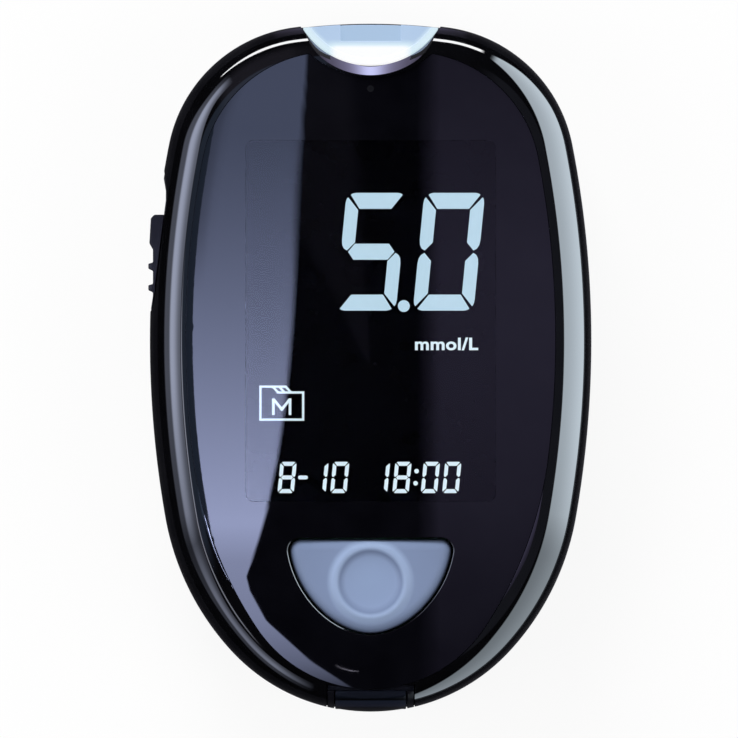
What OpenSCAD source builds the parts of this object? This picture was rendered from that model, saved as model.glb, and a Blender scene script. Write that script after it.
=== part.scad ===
// Blood glucose meter: an egg-shaped pocket meter with a lit strip port at its top end.
// +X is the right of the display, +Y points to the strip port, +Z points out of the display.
// The origin is the middle of the flat back that the meter rests on.

/* [Case] */
// Width across the widest place
body_w = 61.6; // [60:0.2:66]
// Length from the strip port end to the data port end
body_len = 96.2; // [95:0.2:102]
// Thickness from the resting face to the crest of the rim
body_t = 26; // [26:0.5:29]
// Height of the joint between the two case halves
part_z = 13.5; // [13.3:0.1:13.9]
// Case wall
wall = 1.8; // [1.6:0.1:2]
// Radius that rounds the back edge
back_round = 9; // [7:0.5:9.5]
// Radius that rounds the front rim
rim_round = 5.6; // [5:0.1:6.2]
// Height of the widest place above the middle of the length
waist_y = 3.7; // [2:0.1:5]
// Radius of the long flanks
flank_r = 142; // [120:1:180]
// Shadow gap at the joint of the two case halves
seam = 0.2; // [0.1:0.05:0.3]

/* [Face] */
// Width of rim beside the face panel
rim_w = 5; // [4.6:0.1:5.4]
// Width of rim above the face panel
rim_top_w = 3.7; // [3.4:0.1:4]
// Width of rim below the face panel
rim_bottom_w = 3.2; // [3:0.1:3.4]
// Thickness of the face panel at its edge
panel_t = 1.65; // [1.4:0.05:1.8]
// Rise of the face panel from its long edges to its middle
panel_crown = 0.35; // [0.2:0.05:0.45]
// Step from the rim crest down to the edge of the face panel
rim_step = 0.7; // [0.6:0.1:0.9]
// Thickness of the adhesive film under the face panel
film_t = 0.15; // [0.1:0.05:0.2]
// Thickness of the front case's deck
deck_t = 1.2; // [1:0.1:1.4]

/* [Display] */
// Face panel left at each side of the display window
window_side = 8.4; // [7.8:0.1:10]
// Top edge of the display window below the strip port end
window_in = 16.5; // [16:0.1:20]
// Face panel left between the display window and the main button
window_gap = 5.35; // [5:0.05:8]
// Margin of the display glass around the window
glass_margin = 1.4; // [1.1:0.1:1.6]
// Thickness of each of the two display glasses
glass_t = 0.9; // [0.7:0.05:1]
// Contact ledge of the front display glass
ledge = 2.4; // [2:0.1:2.8]

/* [Main button] */
// Width of the main button
button_w = 22.8; // [20:0.2:24]
// Height of the main button, from its flat top edge to its round bottom
button_h = 13; // [12:0.2:13.4]
// Flat top edge of the main button above the data port end
button_up = 24.05; // [23.5:0.05:25]
// Radius of the raised ring on the main button
ring_r = 4.95; // [4:0.05:5.2]
// Travel of the main button
button_travel = 0.4; // [0.3:0.05:0.5]

/* [Strip port] */
// Radius of the round notch that holds the port lens
port_r = 11.4; // [11:0.1:12]
// Depth of that notch from the top end
port_depth = 6.1; // [5.9:0.1:6.4]
// Width of the test strip channel
strip_w = 8.4; // [7:0.2:9]
// Height of the test strip slot
strip_slot = 1.4; // [1.2:0.1:1.6]
// Height of the strip's bearing face above the back
strip_z = 12.5; // [12.4:0.05:12.6]
// Chamfer of the notch
port_chamfer = 1.35; // [1:0.05:1.4]

/* [Ejector] */
// Travel of the strip ejector
eject_travel = 5; // [4:0.1:5.2]
// Length of the ejector's grip
grip_len = 13.5; // [12.5:0.1:14]
// Width of the ejector's grip across the case joint
grip_w = 8; // [7:0.2:9]
// Height of the grip's ribs
grip_rib = 0.65; // [0.4:0.05:0.7]

/* [Data port] */
// Width of the data port's bezel
port_bezel_w = 12.3; // [12:0.1:13]
// Width of the data port's cover
cover_w = 10; // [9.4:0.1:10.2]
// Radius of the cover's hinge pin
pin_r = 0.6; // [0.5:0.05:0.7]

/* [Batteries] */
// Diameter of a battery cell
cell_d = 10.5; // [10:0.1:10.6]
// Length of a battery cell
cell_len = 44.5; // [44:0.1:44.7]
// Middle of the battery bay above the middle of the meter
bay_y = -6; // [-6.4:0.1:-5.6]
// Thickness of the battery door
door_t = 1.6; // [1.4:0.1:1.7]

/* [Board and screws] */
// Thickness of the main board
board_t = 1.2; // [1:0.1:1.4]
// Radius of the case screws' shanks
screw_r = 1; // [0.8:0.05:1.1]
// Radius of the case screws' heads
screw_head_r = 1.9; // [1.7:0.1:2.1]

/* [Hidden] */

// Clearances
gap = 0.2;        // between neighbours that stay apart
slide_gap = 0.3;  // beside pieces that move
pin_gap = 0.05;   // radial, round the hinge pin
past = 1;         // how far a cut runs past a surface
smooth = 180;     // fragments of a full turn on large arcs
round_fn = 48;    // fragments of small rounds

half_w = body_w / 2;
top_y = body_len / 2;
toe_y = -top_y;

// Face, from the two ends inwards
button_y = toe_y + button_up;
window_w = body_w - 2 * (rim_w + window_side);
window_top = top_y - window_in;
window_bottom = button_y + window_gap;
window_h = window_top - window_bottom;
window_y = (window_top + window_bottom) / 2;

// Where the outline's arcs meet, as turns from +X: [pole arc to corner arc, corner arc to flank]
shoulder_turn = [82.6, 11.1];
hip_turn = [42.7, 10];
panel_shoulder_turn = [81.1, 10.9];
panel_hip_turn = [33.8, 6.9];

// Radii of the pole arc and the corner arc that close a quarter outline, w wide and h high, onto its flank
function quarter_radii(w, h, flank, turn) =
    let (c1 = cos(turn[0]), s1 = sin(turn[0]), c2 = cos(turn[1]), s2 = sin(turn[1]),
         across = flank - w - flank * c2, along = h - flank * s2,
         det = -c1 * (s1 - s2) - (c1 - c2) * (1 - s1))
    [(across * (s1 - s2) - (c1 - c2) * along) / det, (-c1 * along - (1 - s1) * across) / det];

// Outline as tangent arcs, anticlockwise from the right flank: [centre x, centre y, radius, start, end]
function egg(w, top, bottom, waist, flank, up, down) =
    let (ru = quarter_radii(w, top - waist, flank, up), rd = quarter_radii(w, waist - bottom, flank, down),
         cx = w - flank,
         ux = cx + (flank - ru[1]) * cos(up[1]), uy = waist + (flank - ru[1]) * sin(up[1]),
         dx = cx + (flank - rd[1]) * cos(down[1]), dy = waist - (flank - rd[1]) * sin(down[1]))
    [[cx, waist, flank, -down[1], up[1]],
     [ux, uy, ru[1], up[1], up[0]],
     [0, top - ru[0], ru[0], up[0], 180 - up[0]],
     [-ux, uy, ru[1], 180 - up[0], 180 - up[1]],
     [-cx, waist, flank, 180 - up[1], 180 + down[1]],
     [-dx, dy, rd[1], 180 + down[1], 180 + down[0]],
     [0, bottom + rd[0], rd[0], down[0] - 180, -down[0]],
     [dx, dy, rd[1], -down[0], -down[1]]];

// Points round an outline, inset by d
chord = 2.6;
function trace(arcs, d = 0) =
    [for (i = [0 : len(arcs) - 1])
        let (a = arcs[(i + 1) % len(arcs)], r = a[2] - d, turn = a[4] - a[3], n = ceil(turn * PI / 180 * a[2] / chord))
        for (k = [0 : n - 1]) let (t = a[3] + turn * k / n) [a[0] + r * cos(t), a[1] + r * sin(t)]];

// Half width of an outline at height y, inset by d
function reach(arcs, y, d = 0) =
    [for (a = arcs) let (s = (y - a[1]) / (a[2] - d)) if (abs(s) <= 1) let (t = asin(s))
        if (t >= a[3] && t <= a[4]) a[0] + (a[2] - d) * cos(t)][0];

outline = egg(half_w, top_y, -top_y, waist_y, flank_r, shoulder_turn, hip_turn);
toe_arc = outline[6];

face_outline = egg(half_w - rim_w, top_y - rim_top_w, rim_bottom_w - top_y, waist_y + 0.2, flank_r - 8,
                   panel_shoulder_turn, panel_hip_turn);

// Heights, from the front down
panel_top = body_t - rim_step;
panel_z = panel_top - panel_t;
deck_top = panel_z - film_t;
deck_z = deck_top - deck_t;
gasket_t = 0.4;
glass_top = deck_z - gasket_t;
glass_z = glass_top - 2 * glass_t;
film_gap = 0.05;
diffuser_t = 0.2;
guide_top = glass_z - diffuser_t - 2 * film_gap;

// Heights, from the back up
cell_r = cell_d / 2;
cell_lift = 0.4;
cell_z = door_t + cell_lift + cell_r;
bay_roof = cell_z + cell_r + 0.4;
bay_wall = 1.2;
roof_t = 1;
board_z = bay_roof + roof_t + 1.7;
board_top = board_z + board_t;
guide_z = board_top + (guide_top - board_top) / 4;

// Battery bay
cell_pitch = cell_d + 0.4;
cell_shift = -2.9;
cell_x = [cell_shift - cell_pitch / 2, cell_shift + cell_pitch / 2];
bay_w = 28.4;
spring_room = 5.2;
plate_room = 1.3;
bay_len = cell_len + spring_room + plate_room;
bay_top = bay_y + bay_len / 2;
bay_bottom = bay_y - bay_len / 2;
bay_corner = 2;

// Screws, of which the upper two stand above the display's frame
frame_wall = 1;
led_room = 1;
frame_top = window_top + glass_margin + led_room + frame_wall;
boss_r = 2.5;
case_screw_y = [frame_top + boss_r + gap, toe_y + 21.1];
case_screw_in = 3.7;
rear_boss_r = screw_head_r + 1.3;
screw_seat = 6.5;
screw_head_h = 1.3;
screw_tip = deck_z - 3.3;
case_screw_at = [for (y = case_screw_y, side = [-1, 1])
    [side * (reach(outline, y) - case_screw_in - (y < 0 ? 3 : 0)), y]];
post_r = 2;
post_y = [top_y - 36.1, toe_y + 14.1];
post_in = [7, 9];
board_screw_r = 0.8;
board_screw_head_r = 1.6;
board_screw_head_h = 1.1;
board_screw_len = deck_z - board_top - 1;
post_at = [for (i = [0, 1], side = [-1, 1]) [side * (reach(outline, post_y[i]) - post_in[i]), post_y[i]]];

// Strip port
port_y = top_y - port_depth + port_r;
port_wall = 1.5;
lens_z = back_round + 0.15;
lens_gap = 0.15;
lens_lip = 0.9;
lens_bowl = 1.6;
lens_high = body_t - port_chamfer - 0.3;
lens_slope = 40;
mouth_y = top_y - 2.6;
window_half = 6.2;
tongue_half = window_half - 0.3;
tongue_z = board_top - 0.9;
tongue_top = tongue_z + 3;
port_window_top = tongue_top + 0.3;
port_window_z = strip_z - 1;
board_edge_y = top_y - port_depth - port_wall - 1;
connector_len = 9.6;
connector_w = 15;
connector_y = board_edge_y + 0.9 - connector_len;
connector_z = strip_z - 1.3;

// Ejector
recess_w = grip_w + 2 * gap;
recess_z = part_z - recess_w / 2;
grip_z = part_z - grip_w / 2;
grip_y = waist_y + 4.1;
grip_top = grip_y + grip_len;
recess_top = grip_top + eject_travel + 1.1;
neck_y = grip_y + 4.2;
neck_len = 6;
neck_z = part_z - 1.2;
neck_h = 2.4;
arm_t = 1.6;
arm_x = -reach(outline, recess_top, wall) + 1.1;
pad_x = arm_x - 0.8;
arm_z = neck_z - 1.1;
arm_h = 3;
cross_y = bay_top + bay_wall + 1.6;
cross_w = 2.4;
finger_w = 3.2;
finger_z = strip_z + 0.2;
finger_h = strip_slot - 0.55;
finger_tip = connector_y + 0.2;
spring_x = case_screw_at[0][0] + 0.2;
spring_stop_y = case_screw_y[0] - rear_boss_r - 0.4;
spring_z = arm_z + arm_h / 2;

// Data port
bezel_back = toe_y + 2.7;
bezel_t = 1.2;
bezel_z = back_round - 0.7;
hinge_y = toe_y + 1.4;
hinge_z = back_round + 1.3;
barrel_r = 1.15;
cover_back = bezel_back - 0.15;
cover_top_back = toe_y + rim_bottom_w - 0.15;
socket_w = 7.5;
socket_h = 2.7;
socket_len = 5.6;
socket_y = bezel_back + bezel_t + 0.1;

// ---------- shared shapes ----------

// Turns a section about the centre of one arc: x is 0 on the outline and negative inside it, y is the height
module arc_sweep(a) {
    translate([a[0], a[1], 0]) rotate(a[3])
        rotate_extrude(angle = a[4] - a[3], $fn = smooth) translate([a[2], 0]) children();
}

// Skin through copies of an outline, each inset by level[0] and at the height level[1]
module loft(arcs, levels) {
    n = len(trace(arcs));
    points = [for (level = levels, p = trace(arcs, level[0])) [p[0], p[1], level[1]]];
    sides = [for (i = [0 : len(levels) - 2], k = [0 : n - 1])
        let (a = i * n + k, b = i * n + (k + 1) % n) [a, a + n, b + n, b]];
    caps = [[for (k = [0 : n - 1]) k], [for (k = [n - 1 : -1 : 0]) (len(levels) - 1) * n + k]];
    polyhedron(points, concat(caps, sides), convexity = 4);
}

module slab(arcs, d, z0, z1) {
    translate([0, 0, z0]) linear_extrude(z1 - z0) polygon(trace(arcs, d));
}

module block(x0, x1, y0, y1, z0, z1) {
    translate([x0, y0, z0]) cube([x1 - x0, y1 - y0, z1 - z0]);
}

module rounded_plan(x, y, r) {
    offset(r = r, $fn = round_fn) square([x - 2 * r, y - 2 * r], center = true);
}

// Levels of the rear case's rounded skin, inset by d, and of the front rim's
level_turns = [0 : 15 : 90];
function back_levels(d, top) = concat(
    [for (t = level_turns) [back_round - (back_round - d) * sin(t), back_round - (back_round - d) * cos(t)]],
    [[d, top]]);
function rim_levels(low) = concat([[0, low]],
    [for (t = level_turns) [rim_round * (1 - cos(t)), body_t - rim_round * (1 - sin(t))]]);

// Outer section of the front case, inset by d, from the height low up to the rim's crest
module rim_section(d, deep, low) {
    crest = body_t - d;
    difference() {
        translate([-deep, low]) square([deep - d, crest - low]);
        difference() {
            translate([-rim_round, body_t - rim_round]) square([rim_round - d + past, rim_round - d + past]);
            translate([-rim_round, body_t - rim_round]) circle(rim_round - d, $fn = smooth);
        }
    }
}

// Half-moon of the main button: a flat top edge over a rounded belly
belly = 1.84;
module half_moon(grow) {
    corner = 1.5;
    offset(r = corner + grow, $fn = round_fn) offset(delta = -corner)
        polygon([for (t = [0 : 5 : 180])
            [button_w / 2 * sign(cos(t)) * pow(abs(cos(t)), 2 / belly),
             button_y - button_h * pow(sin(t), 2 / belly)]]);
}

// Round wire along a coil whose radius runs from r0 to r1, with its axis on +Y
module coil(r0, r1, length, turns, wire) {
    sides = 8;
    steps = 12 * turns;
    rings = [for (i = [0 : steps]) let (f = i / steps, t = 360 * turns * f, r = r0 + (r1 - r0) * f)
        for (k = [0 : sides - 1]) let (u = 360 * k / sides, d = r + wire * cos(u))
            [d * cos(t), wire + (length - 2 * wire) * f + wire * sin(u), d * sin(t)]];
    walls = [for (i = [0 : steps - 1], k = [0 : sides - 1])
        let (a = i * sides + k, b = i * sides + (k + 1) % sides) [a, b, b + sides, a + sides]];
    caps = [[for (k = [sides - 1 : -1 : 0]) k], [for (k = [0 : sides - 1]) steps * sides + k]];
    polyhedron(rings, concat(walls, caps), convexity = 8);
}

// ---------- case ----------

lip_t = 0.8;
lip_h = 1.2;

// Plan of the recess that the ejector's grip slides in
module recess_plan() {
    edge = -reach(outline, recess_top);
    polygon([[edge - 3, recess_top], [edge, recess_top], [edge + 0.45, recess_top - 2.7],
             [edge + 0.45, recess_top - 4], [-half_w + 0.55, grip_y + 0.7], [-half_w, grip_y - 0.2],
             [-half_w - 3, grip_y - 0.2]]);
}

module ejector_cuts() {
    translate([0, 0, recess_z]) linear_extrude(recess_w) recess_plan();
    block(-half_w, pad_x + past, neck_y - slide_gap, neck_y + neck_len + eject_travel + slide_gap,
          neck_z - gap, neck_z + neck_h + gap);
}

// Wall round the notch, which notch_cut bores out
module notch_wall(z0, z1) {
    translate([0, port_y, z0]) cylinder(r = port_r + port_wall, h = z1 - z0, $fn = smooth);
}

module notch_cut(z0) {
    translate([0, port_y, z0]) cylinder(r = port_r, h = body_t - z0 + past, $fn = smooth);
}

module port_window() {
    block(-window_half, window_half, top_y - port_depth - 2 * port_wall, top_y - port_depth + 2 * port_wall,
          port_window_z, port_window_top);
}

module data_notch() {
    block(-port_bezel_w / 2, port_bezel_w / 2, toe_y - past, bezel_back + bezel_t, bezel_z, body_t + past);
}

module bay_plan(grow) {
    translate([0, bay_y]) rounded_plan(bay_w + 2 * grow, bay_len + 2 * grow, bay_corner + grow);
}

door_tab_x = 8;
door_tab_w = 5;
door_tab_l = 1.4;
door_tab_z = door_t - 0.5;
latch_w = 9;
latch_h = 0.8;
latch_z = door_t + 0.7;
module rear_walls() {
    translate([0, 0, wall / 2]) linear_extrude(bay_roof + roof_t - wall / 2) bay_plan(bay_wall);
    notch_wall(back_round - port_wall, part_z + past);
    for (p = case_screw_at) translate([p[0], p[1], 0]) cylinder(r = rear_boss_r, h = part_z, $fn = round_fn);
    // thick wall behind the ejector's grip, the ribs that carry its arm and the stop of its spring
    block(-half_w, pad_x, grip_y - 2, recess_top + 1.5, recess_z - 1.5, part_z);
    for (y = [neck_y + 1, cross_y - 3]) block(arm_x, arm_x + arm_t + 1, y, y + bay_wall, 0, arm_z - gap);
    for (x = [-finger_w, finger_w + 6])
        block(x, x + bay_wall, bay_top + bay_wall / 2, cross_y + cross_w + eject_travel, 0, arm_z - gap);
    block(spring_x - 2, spring_x + 2, spring_stop_y, spring_stop_y + 1, 0, part_z - 0.5);
}

module rear_case() {
    color([0.09, 0.09, 0.1]) difference() {
        union() {
            difference() {
                loft(outline, back_levels(0, part_z));
                // cavity, less the walls that stand in it
                difference() {
                    loft(outline, back_levels(wall, part_z + past));
                    rear_walls();
                }
            }
            // lip that the front case sits over
            difference() {
                slab(outline, wall - lip_t, part_z - past, part_z + lip_h);
                slab(outline, wall, part_z - 2 * past, part_z + lip_h + past);
            }
        }
        translate([0, 0, -past]) linear_extrude(bay_roof + past) bay_plan(0);
        notch_cut(back_round);
        for (p = case_screw_at) translate([p[0], p[1], -past]) {
            cylinder(r = screw_head_r + 0.3, h = screw_seat + past, $fn = round_fn);
            cylinder(r = screw_r + 0.15, h = part_z + 2 * past, $fn = round_fn);
        }
        ejector_cuts();
        port_window();
        data_notch();
        // slots for the door's tabs and its latch
        for (x = [-door_tab_x, door_tab_x])
            block(x - door_tab_w / 2 - gap, x + door_tab_w / 2 + gap, bay_bottom - bay_wall - past,
                  bay_bottom + past, door_tab_z - gap, door_t + 1.6);
        block(-latch_w / 2 - gap, latch_w / 2 + gap, bay_top - past, bay_top + bay_wall + past,
              latch_z - gap, latch_z + latch_h + gap);
        // set button's hole and the contacts' tails
        translate([set_x, set_y, bay_roof - past]) cylinder(r = set_r + 0.15, h = roof_t + 2 * past, $fn = round_fn);
        for (i = [0, 1], y = [bay_bottom, bay_top])
            block(cell_x[i] - 1.2, cell_x[i] + 1.2, y - 0.8, y + 0.8, bay_roof - 0.2, bay_roof + roof_t + past);
    }
}

module front_walls() {
    notch_wall(part_z, body_t);
    for (p = case_screw_at) translate([p[0], p[1], part_z]) cylinder(r = boss_r, h = body_t - part_z, $fn = round_fn);
    for (p = post_at) translate([p[0], p[1], board_top]) cylinder(r = post_r, h = body_t - board_top, $fn = round_fn);
    block(-half_w, pad_x, grip_y - 2, recess_top + 1.5, part_z, recess_z + recess_w + 1.5);
}

module front_case() {
    color([0.04, 0.04, 0.05]) difference() {
        loft(outline, rim_levels(part_z + seam));
        // cavity, less the walls that stand in it
        difference() {
            slab(outline, wall, part_z - past, deck_z);
            front_walls();
        }
        // rebate over the rear case's lip
        difference() {
            slab(outline, wall - lip_t - gap / 2, part_z - past, part_z + lip_h + gap);
            slab(outline, wall + gap / 2, part_z - 2 * past, part_z + lip_h + 2 * gap);
        }
        // pocket for the face panel
        difference() {
            slab(face_outline, 0, deck_top, body_t + past);
            translate([0, port_y, 0]) cylinder(r = port_r + port_wall, h = body_t + past, $fn = smooth);
        }
        // openings of the deck
        translate([0, window_y, deck_z - past]) linear_extrude(2 * deck_t + past)
            rounded_plan(window_w + 1, window_h + 1, 1.5);
        translate([0, 0, deck_z - past]) linear_extrude(2 * deck_t + past) half_moon(slide_gap);
        notch_cut(part_z - past);
        translate([0, port_y, body_t - port_chamfer])
            cylinder(r1 = port_r, r2 = port_r + 2 * port_chamfer, h = 2 * port_chamfer, $fn = smooth);
        ejector_cuts();
        port_window();
        data_notch();
        for (p = case_screw_at) translate([p[0], p[1], part_z - past])
            cylinder(r = screw_r + 0.02, h = screw_tip - part_z + 1.5 * past, $fn = round_fn);
        for (p = post_at) translate([p[0], p[1], board_top - past])
            cylinder(r = board_screw_r + 0.02, h = board_screw_len + past, $fn = round_fn);
    }
}

module face_panel() {
    half = half_w - rim_w;
    crown = [for (i = [-10 : 10]) [half * i / 10, panel_top + panel_crown * (1 - pow(i / 10, 2))]];
    color([0.02, 0.02, 0.03]) difference() {
        intersection() {
            slab(face_outline, 0.1, panel_z, body_t);
            rotate([90, 0, 0]) linear_extrude(body_len, center = true)
                polygon(concat(crown, [[half, panel_z - past], [-half, panel_z - past]]));
        }
        translate([0, port_y, 0]) cylinder(r = port_r + port_wall + 0.1, h = body_t + past, $fn = smooth);
        translate([0, 0, panel_z - past]) linear_extrude(panel_t + 2 * past) half_moon(slide_gap);
    }
}

module panel_adhesive() {
    color([0.75, 0.75, 0.72]) translate([0, 0, deck_top]) linear_extrude(film_t) difference() {
        polygon(trace(face_outline, 0.6));
        translate([0, window_y]) rounded_plan(window_w + 1.4, window_h + 1.4, 1.6);
        half_moon(slide_gap + 0.4);
        translate([0, port_y]) circle(port_r + port_wall + 0.5, $fn = smooth);
    }
}

// ---------- display ----------

glass_w = window_w + 2 * glass_margin;
glass_h = window_h + 2 * glass_margin + 0.8;
glass_y0 = window_y - window_h / 2 - glass_margin - 0.8;
glass_y1 = glass_y0 + glass_h;

module display_gasket() {
    color([0.12, 0.12, 0.12]) translate([0, 0, glass_top]) linear_extrude(gasket_t) difference() {
        translate([-glass_w / 2, glass_y0]) square([glass_w, glass_h]);
        translate([0, window_y]) rounded_plan(window_w + 1, window_h + 1, 1.5);
    }
}

module lcd_glass() {
    color([0.1, 0.12, 0.16]) {
        block(-glass_w / 2, glass_w / 2, glass_y0, glass_y1, glass_top - glass_t, glass_top);
        block(-glass_w / 2, glass_w / 2, glass_y0 + ledge, glass_y1, glass_z, glass_top - glass_t);
    }
}

module diffuser_film() {
    color([0.95, 0.95, 0.97]) block(-glass_w / 2 + gap, glass_w / 2 - gap, glass_y0 + ledge, glass_y1 - gap,
        guide_top + film_gap, guide_top + film_gap + diffuser_t);
}

module light_guide() {
    color([0.85, 0.9, 0.95]) block(-glass_w / 2 + gap, glass_w / 2 - gap, glass_y0 + ledge, glass_y1 - gap,
        guide_z, guide_top);
}

module lcd_frame() {
    color([0.93, 0.93, 0.9]) {
        difference() {
            // its corners are trimmed where the case curves in
            intersection() {
                block(-glass_w / 2 - gap - frame_wall, glass_w / 2 + gap + frame_wall, glass_y0 - gap - frame_wall,
                      glass_y1 + led_room + frame_wall, board_top, glass_top);
                slab(outline, wall + slide_gap, board_top, glass_top);
            }
            block(-glass_w / 2 - gap, glass_w / 2 + gap, glass_y0 - gap, glass_y1 + led_room,
                  board_top - past, glass_top + past);
        }
        for (side = [-1, 1]) translate([side * (glass_w / 2 + gap - 0.6), 0, 0])
            block(-0.8, 0.8, glass_y0 + ledge, glass_y1, board_top, guide_z);
    }
}

module zebra_strip() {
    color([0.85, 0.5, 0.55])
        block(3 - glass_w / 2, glass_w / 2 - 3, glass_y0 + gap, glass_y0 + ledge - gap, board_top,
              glass_top - glass_t);
}

module backlight_leds() {
    color([0.95, 0.95, 0.8]) for (x = [-1, 0, 1] * glass_w * 0.3)
        block(x - 1.5, x + 1.5, glass_y1 - gap + 0.1, glass_y1 + led_room - 0.1, board_top,
              (guide_z + 4 * guide_top) / 5);
}

// ---------- board ----------

board_in = 3.2;
module main_board() {
    color([0.05, 0.3, 0.16]) translate([0, 0, board_z]) linear_extrude(board_t) difference() {
        polygon(trace(outline, board_in));
        for (p = case_screw_at) translate(p) circle(boss_r + 0.4, $fn = round_fn);
        for (p = post_at) translate(p) circle(board_screw_r + 0.15, $fn = round_fn);
        translate([0, port_y]) circle(port_r + port_wall + 0.5, $fn = smooth);
        translate([-window_half - 1, board_edge_y]) square([2 * window_half + 2, 3 * past]);
        translate([-port_bezel_w / 2 - gap, toe_y]) square([port_bezel_w + 2 * gap, bezel_back + bezel_t + gap - toe_y]);
        translate([-half_w, grip_y - 2.5]) square([half_w + pad_x + gap, recess_top - grip_y + 4.5]);
    }
}

// Middle of the room between the battery bay and the case wall
side_x = (bay_w / 2 + bay_wall + reach(outline, bay_y, wall)) / 2;
module processor() {
    chip = 7;
    leg = 0.8;
    pitch = 0.9;
    color([0.1, 0.1, 0.1]) translate([-side_x, bay_y, 0]) {
        block(-chip / 2, chip / 2, -chip / 2, chip / 2, board_z - 1.3, board_z - 0.1);
        for (turn = [0 : 90 : 270], i = [-3 : 3]) rotate(turn)
            block(chip / 2 - 0.1, chip / 2 + leg, i * pitch - 0.18, i * pitch + 0.18, board_z - 0.5, board_z);
    }
}

module measuring_chip() {
    color([0.1, 0.1, 0.1]) translate([12, cross_y + 4, 0]) {
        block(-2.5, 2.5, -2, 2, board_z - 1, board_z - 0.1);
        for (side = [-1, 1], i = [-1.5 : 1.5])
            block(i * 1.2 - 0.2, i * 1.2 + 0.2, side * 2.3 - 0.6, side * 2.3 + 0.6, board_z - 0.4, board_z);
    }
}

module small_components() {
    size = [1.2, 2, 0.7];
    color([0.55, 0.45, 0.35]) for (row = [0 : 2], col = [0 : 3])
        translate([half_w - 12.4 + row * 2.2 * size[0], post_y[0] + 2.5 + col * 1.5 * size[1], board_z - size[2]])
            cube(size);
}

buzzer_r = 4.5;
buzzer_h = 3.4;
buzzer_hole_r = 0.9;
module buzzer() {
    color([0.12, 0.12, 0.12]) translate([side_x, bay_y, board_z - buzzer_h])
        difference() {
            cylinder(r = buzzer_r, h = buzzer_h, $fn = round_fn);
            translate([0, 0, -past]) cylinder(r = buzzer_hole_r, h = buzzer_h / 2 + past, $fn = round_fn);
        }
}

// ---------- buttons ----------

ring_in = 5.85;   // ring's centre below the flat edge
ring_y = button_y - ring_in;
flange_t = 0.9;
flange_top = deck_z - gap;
stem_h = 0.3;
plunger_r = 1.75;
plunger_top = flange_top - flange_t - stem_h;
switch_h = plunger_top - board_top - button_travel - 0.2;
switch_top = board_top + switch_h;
plunger_in = 0.2;
module main_button() {
    face = panel_top + panel_crown;
    crest = 0.7;
    color([0.53, 0.6, 0.76]) {
        translate([0, 0, flange_top - flange_t]) linear_extrude(flange_t) half_moon(0.7);
        difference() {
            translate([0, 0, flange_top - 0.1]) linear_extrude(face - flange_top + 0.1) half_moon(0);
            translate([0, ring_y, face + 13.7]) sphere(14, $fn = smooth);
        }
        translate([0, ring_y, face - 0.45]) rotate_extrude($fn = 2 * round_fn) translate([ring_r, 0])
            circle(crest, $fn = round_fn);
        translate([0, ring_y, plunger_top]) cylinder(r = 2.4, h = flange_top - plunger_top, $fn = round_fn);
    }
}

module main_switch() {
    color([0.2, 0.2, 0.2]) difference() {
        union() {
            block(-3, 3, ring_y - 3, ring_y + 3, board_top, switch_top - 0.3);
            translate([0, ring_y, board_top]) cylinder(r = 2.6, h = switch_h, $fn = round_fn);
        }
        translate([0, ring_y, switch_top - plunger_in - button_travel - 0.1])
            cylinder(r = plunger_r + 0.1, h = switch_h, $fn = round_fn);
    }
}

module main_switch_plunger() {
    color([0.8, 0.75, 0.6]) translate([0, ring_y, switch_top - plunger_in])
        cylinder(r = plunger_r, h = plunger_top - switch_top + plunger_in, $fn = round_fn);
}

set_x = 11;
set_y = bay_y;
set_r = 2;
set_travel = 0.2;
set_flange = bay_roof + roof_t + 0.1;
module set_button() {
    color([0.75, 0.75, 0.78]) translate([set_x, set_y, 0]) {
        translate([0, 0, bay_roof - 3.4]) cylinder(r = set_r, h = set_flange - bay_roof + 3.6, $fn = round_fn);
        translate([0, 0, set_flange]) cylinder(r = set_r + 0.7, h = 0.5, $fn = round_fn);
        translate([0, 0, set_flange + 0.4]) cylinder(r = 0.9, h = board_z - 0.55 - set_flange - 0.4, $fn = round_fn);
    }
}

module set_switch() {
    color([0.7, 0.7, 0.7]) difference() {
        block(set_x - 2.6, set_x + 2.6, set_y - 2.2, set_y + 2.2, board_z - 0.7, board_z);
        translate([set_x, set_y, board_z - 1]) cylinder(r = 1.05, h = 0.7, $fn = round_fn);
    }
}

// ---------- strip port ----------

module lens_top_cut(drop) {
    translate([0, top_y - port_depth, lens_high - drop]) rotate([-lens_slope, 0, 0])
        translate([-port_r * 2, -port_r, 0]) cube([port_r * 4, port_r * 4, port_r * 2]);
}

module port_lens() {
    color([0.85, 0.92, 1]) difference() {
        union() {
            intersection() {
                translate([0, port_y, lens_z]) cylinder(r = port_r - lens_gap, h = lens_high - lens_z, $fn = smooth);
                slab(outline, 0.2, lens_z, lens_high);
            }
            block(-tongue_half, tongue_half, board_edge_y + gap, mouth_y - 1.2, tongue_z, tongue_top);
        }
        lens_top_cut(0);
        intersection() {
            translate([0, port_y, strip_z]) cylinder(r = port_r - lens_gap - lens_lip, h = body_t, $fn = smooth);
            lens_top_cut(lens_bowl);
        }
        block(-strip_w / 2, strip_w / 2, mouth_y, top_y + past, strip_z, body_t);
        block(-strip_w / 2, strip_w / 2, board_edge_y - past, top_y, strip_z, strip_z + strip_slot);
    }
}

module port_leds() {
    color([0.95, 0.95, 0.8]) for (x = [-3, 3])
        block(x - 1.3, x + 1.3, board_edge_y - 1.4, board_edge_y - 0.1, board_top, board_top + 1);
}

slot_half = strip_w / 2 - 0.3;
contact_pitch = 1.3;
module strip_connector() {
    color([0.1, 0.1, 0.12]) difference() {
        block(-connector_w / 2, connector_w / 2, connector_y, connector_y + connector_len, connector_z, board_z);
        block(-slot_half, slot_half, connector_y - past, connector_y + connector_len + past,
              strip_z, strip_z + strip_slot);
        for (i = [-2 : 2])
            block(i * contact_pitch - 0.4, i * contact_pitch + 0.4, connector_y + 2.4,
                  connector_y + connector_len - 0.8, strip_z + strip_slot - 0.1, board_z + past);
    }
}

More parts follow.
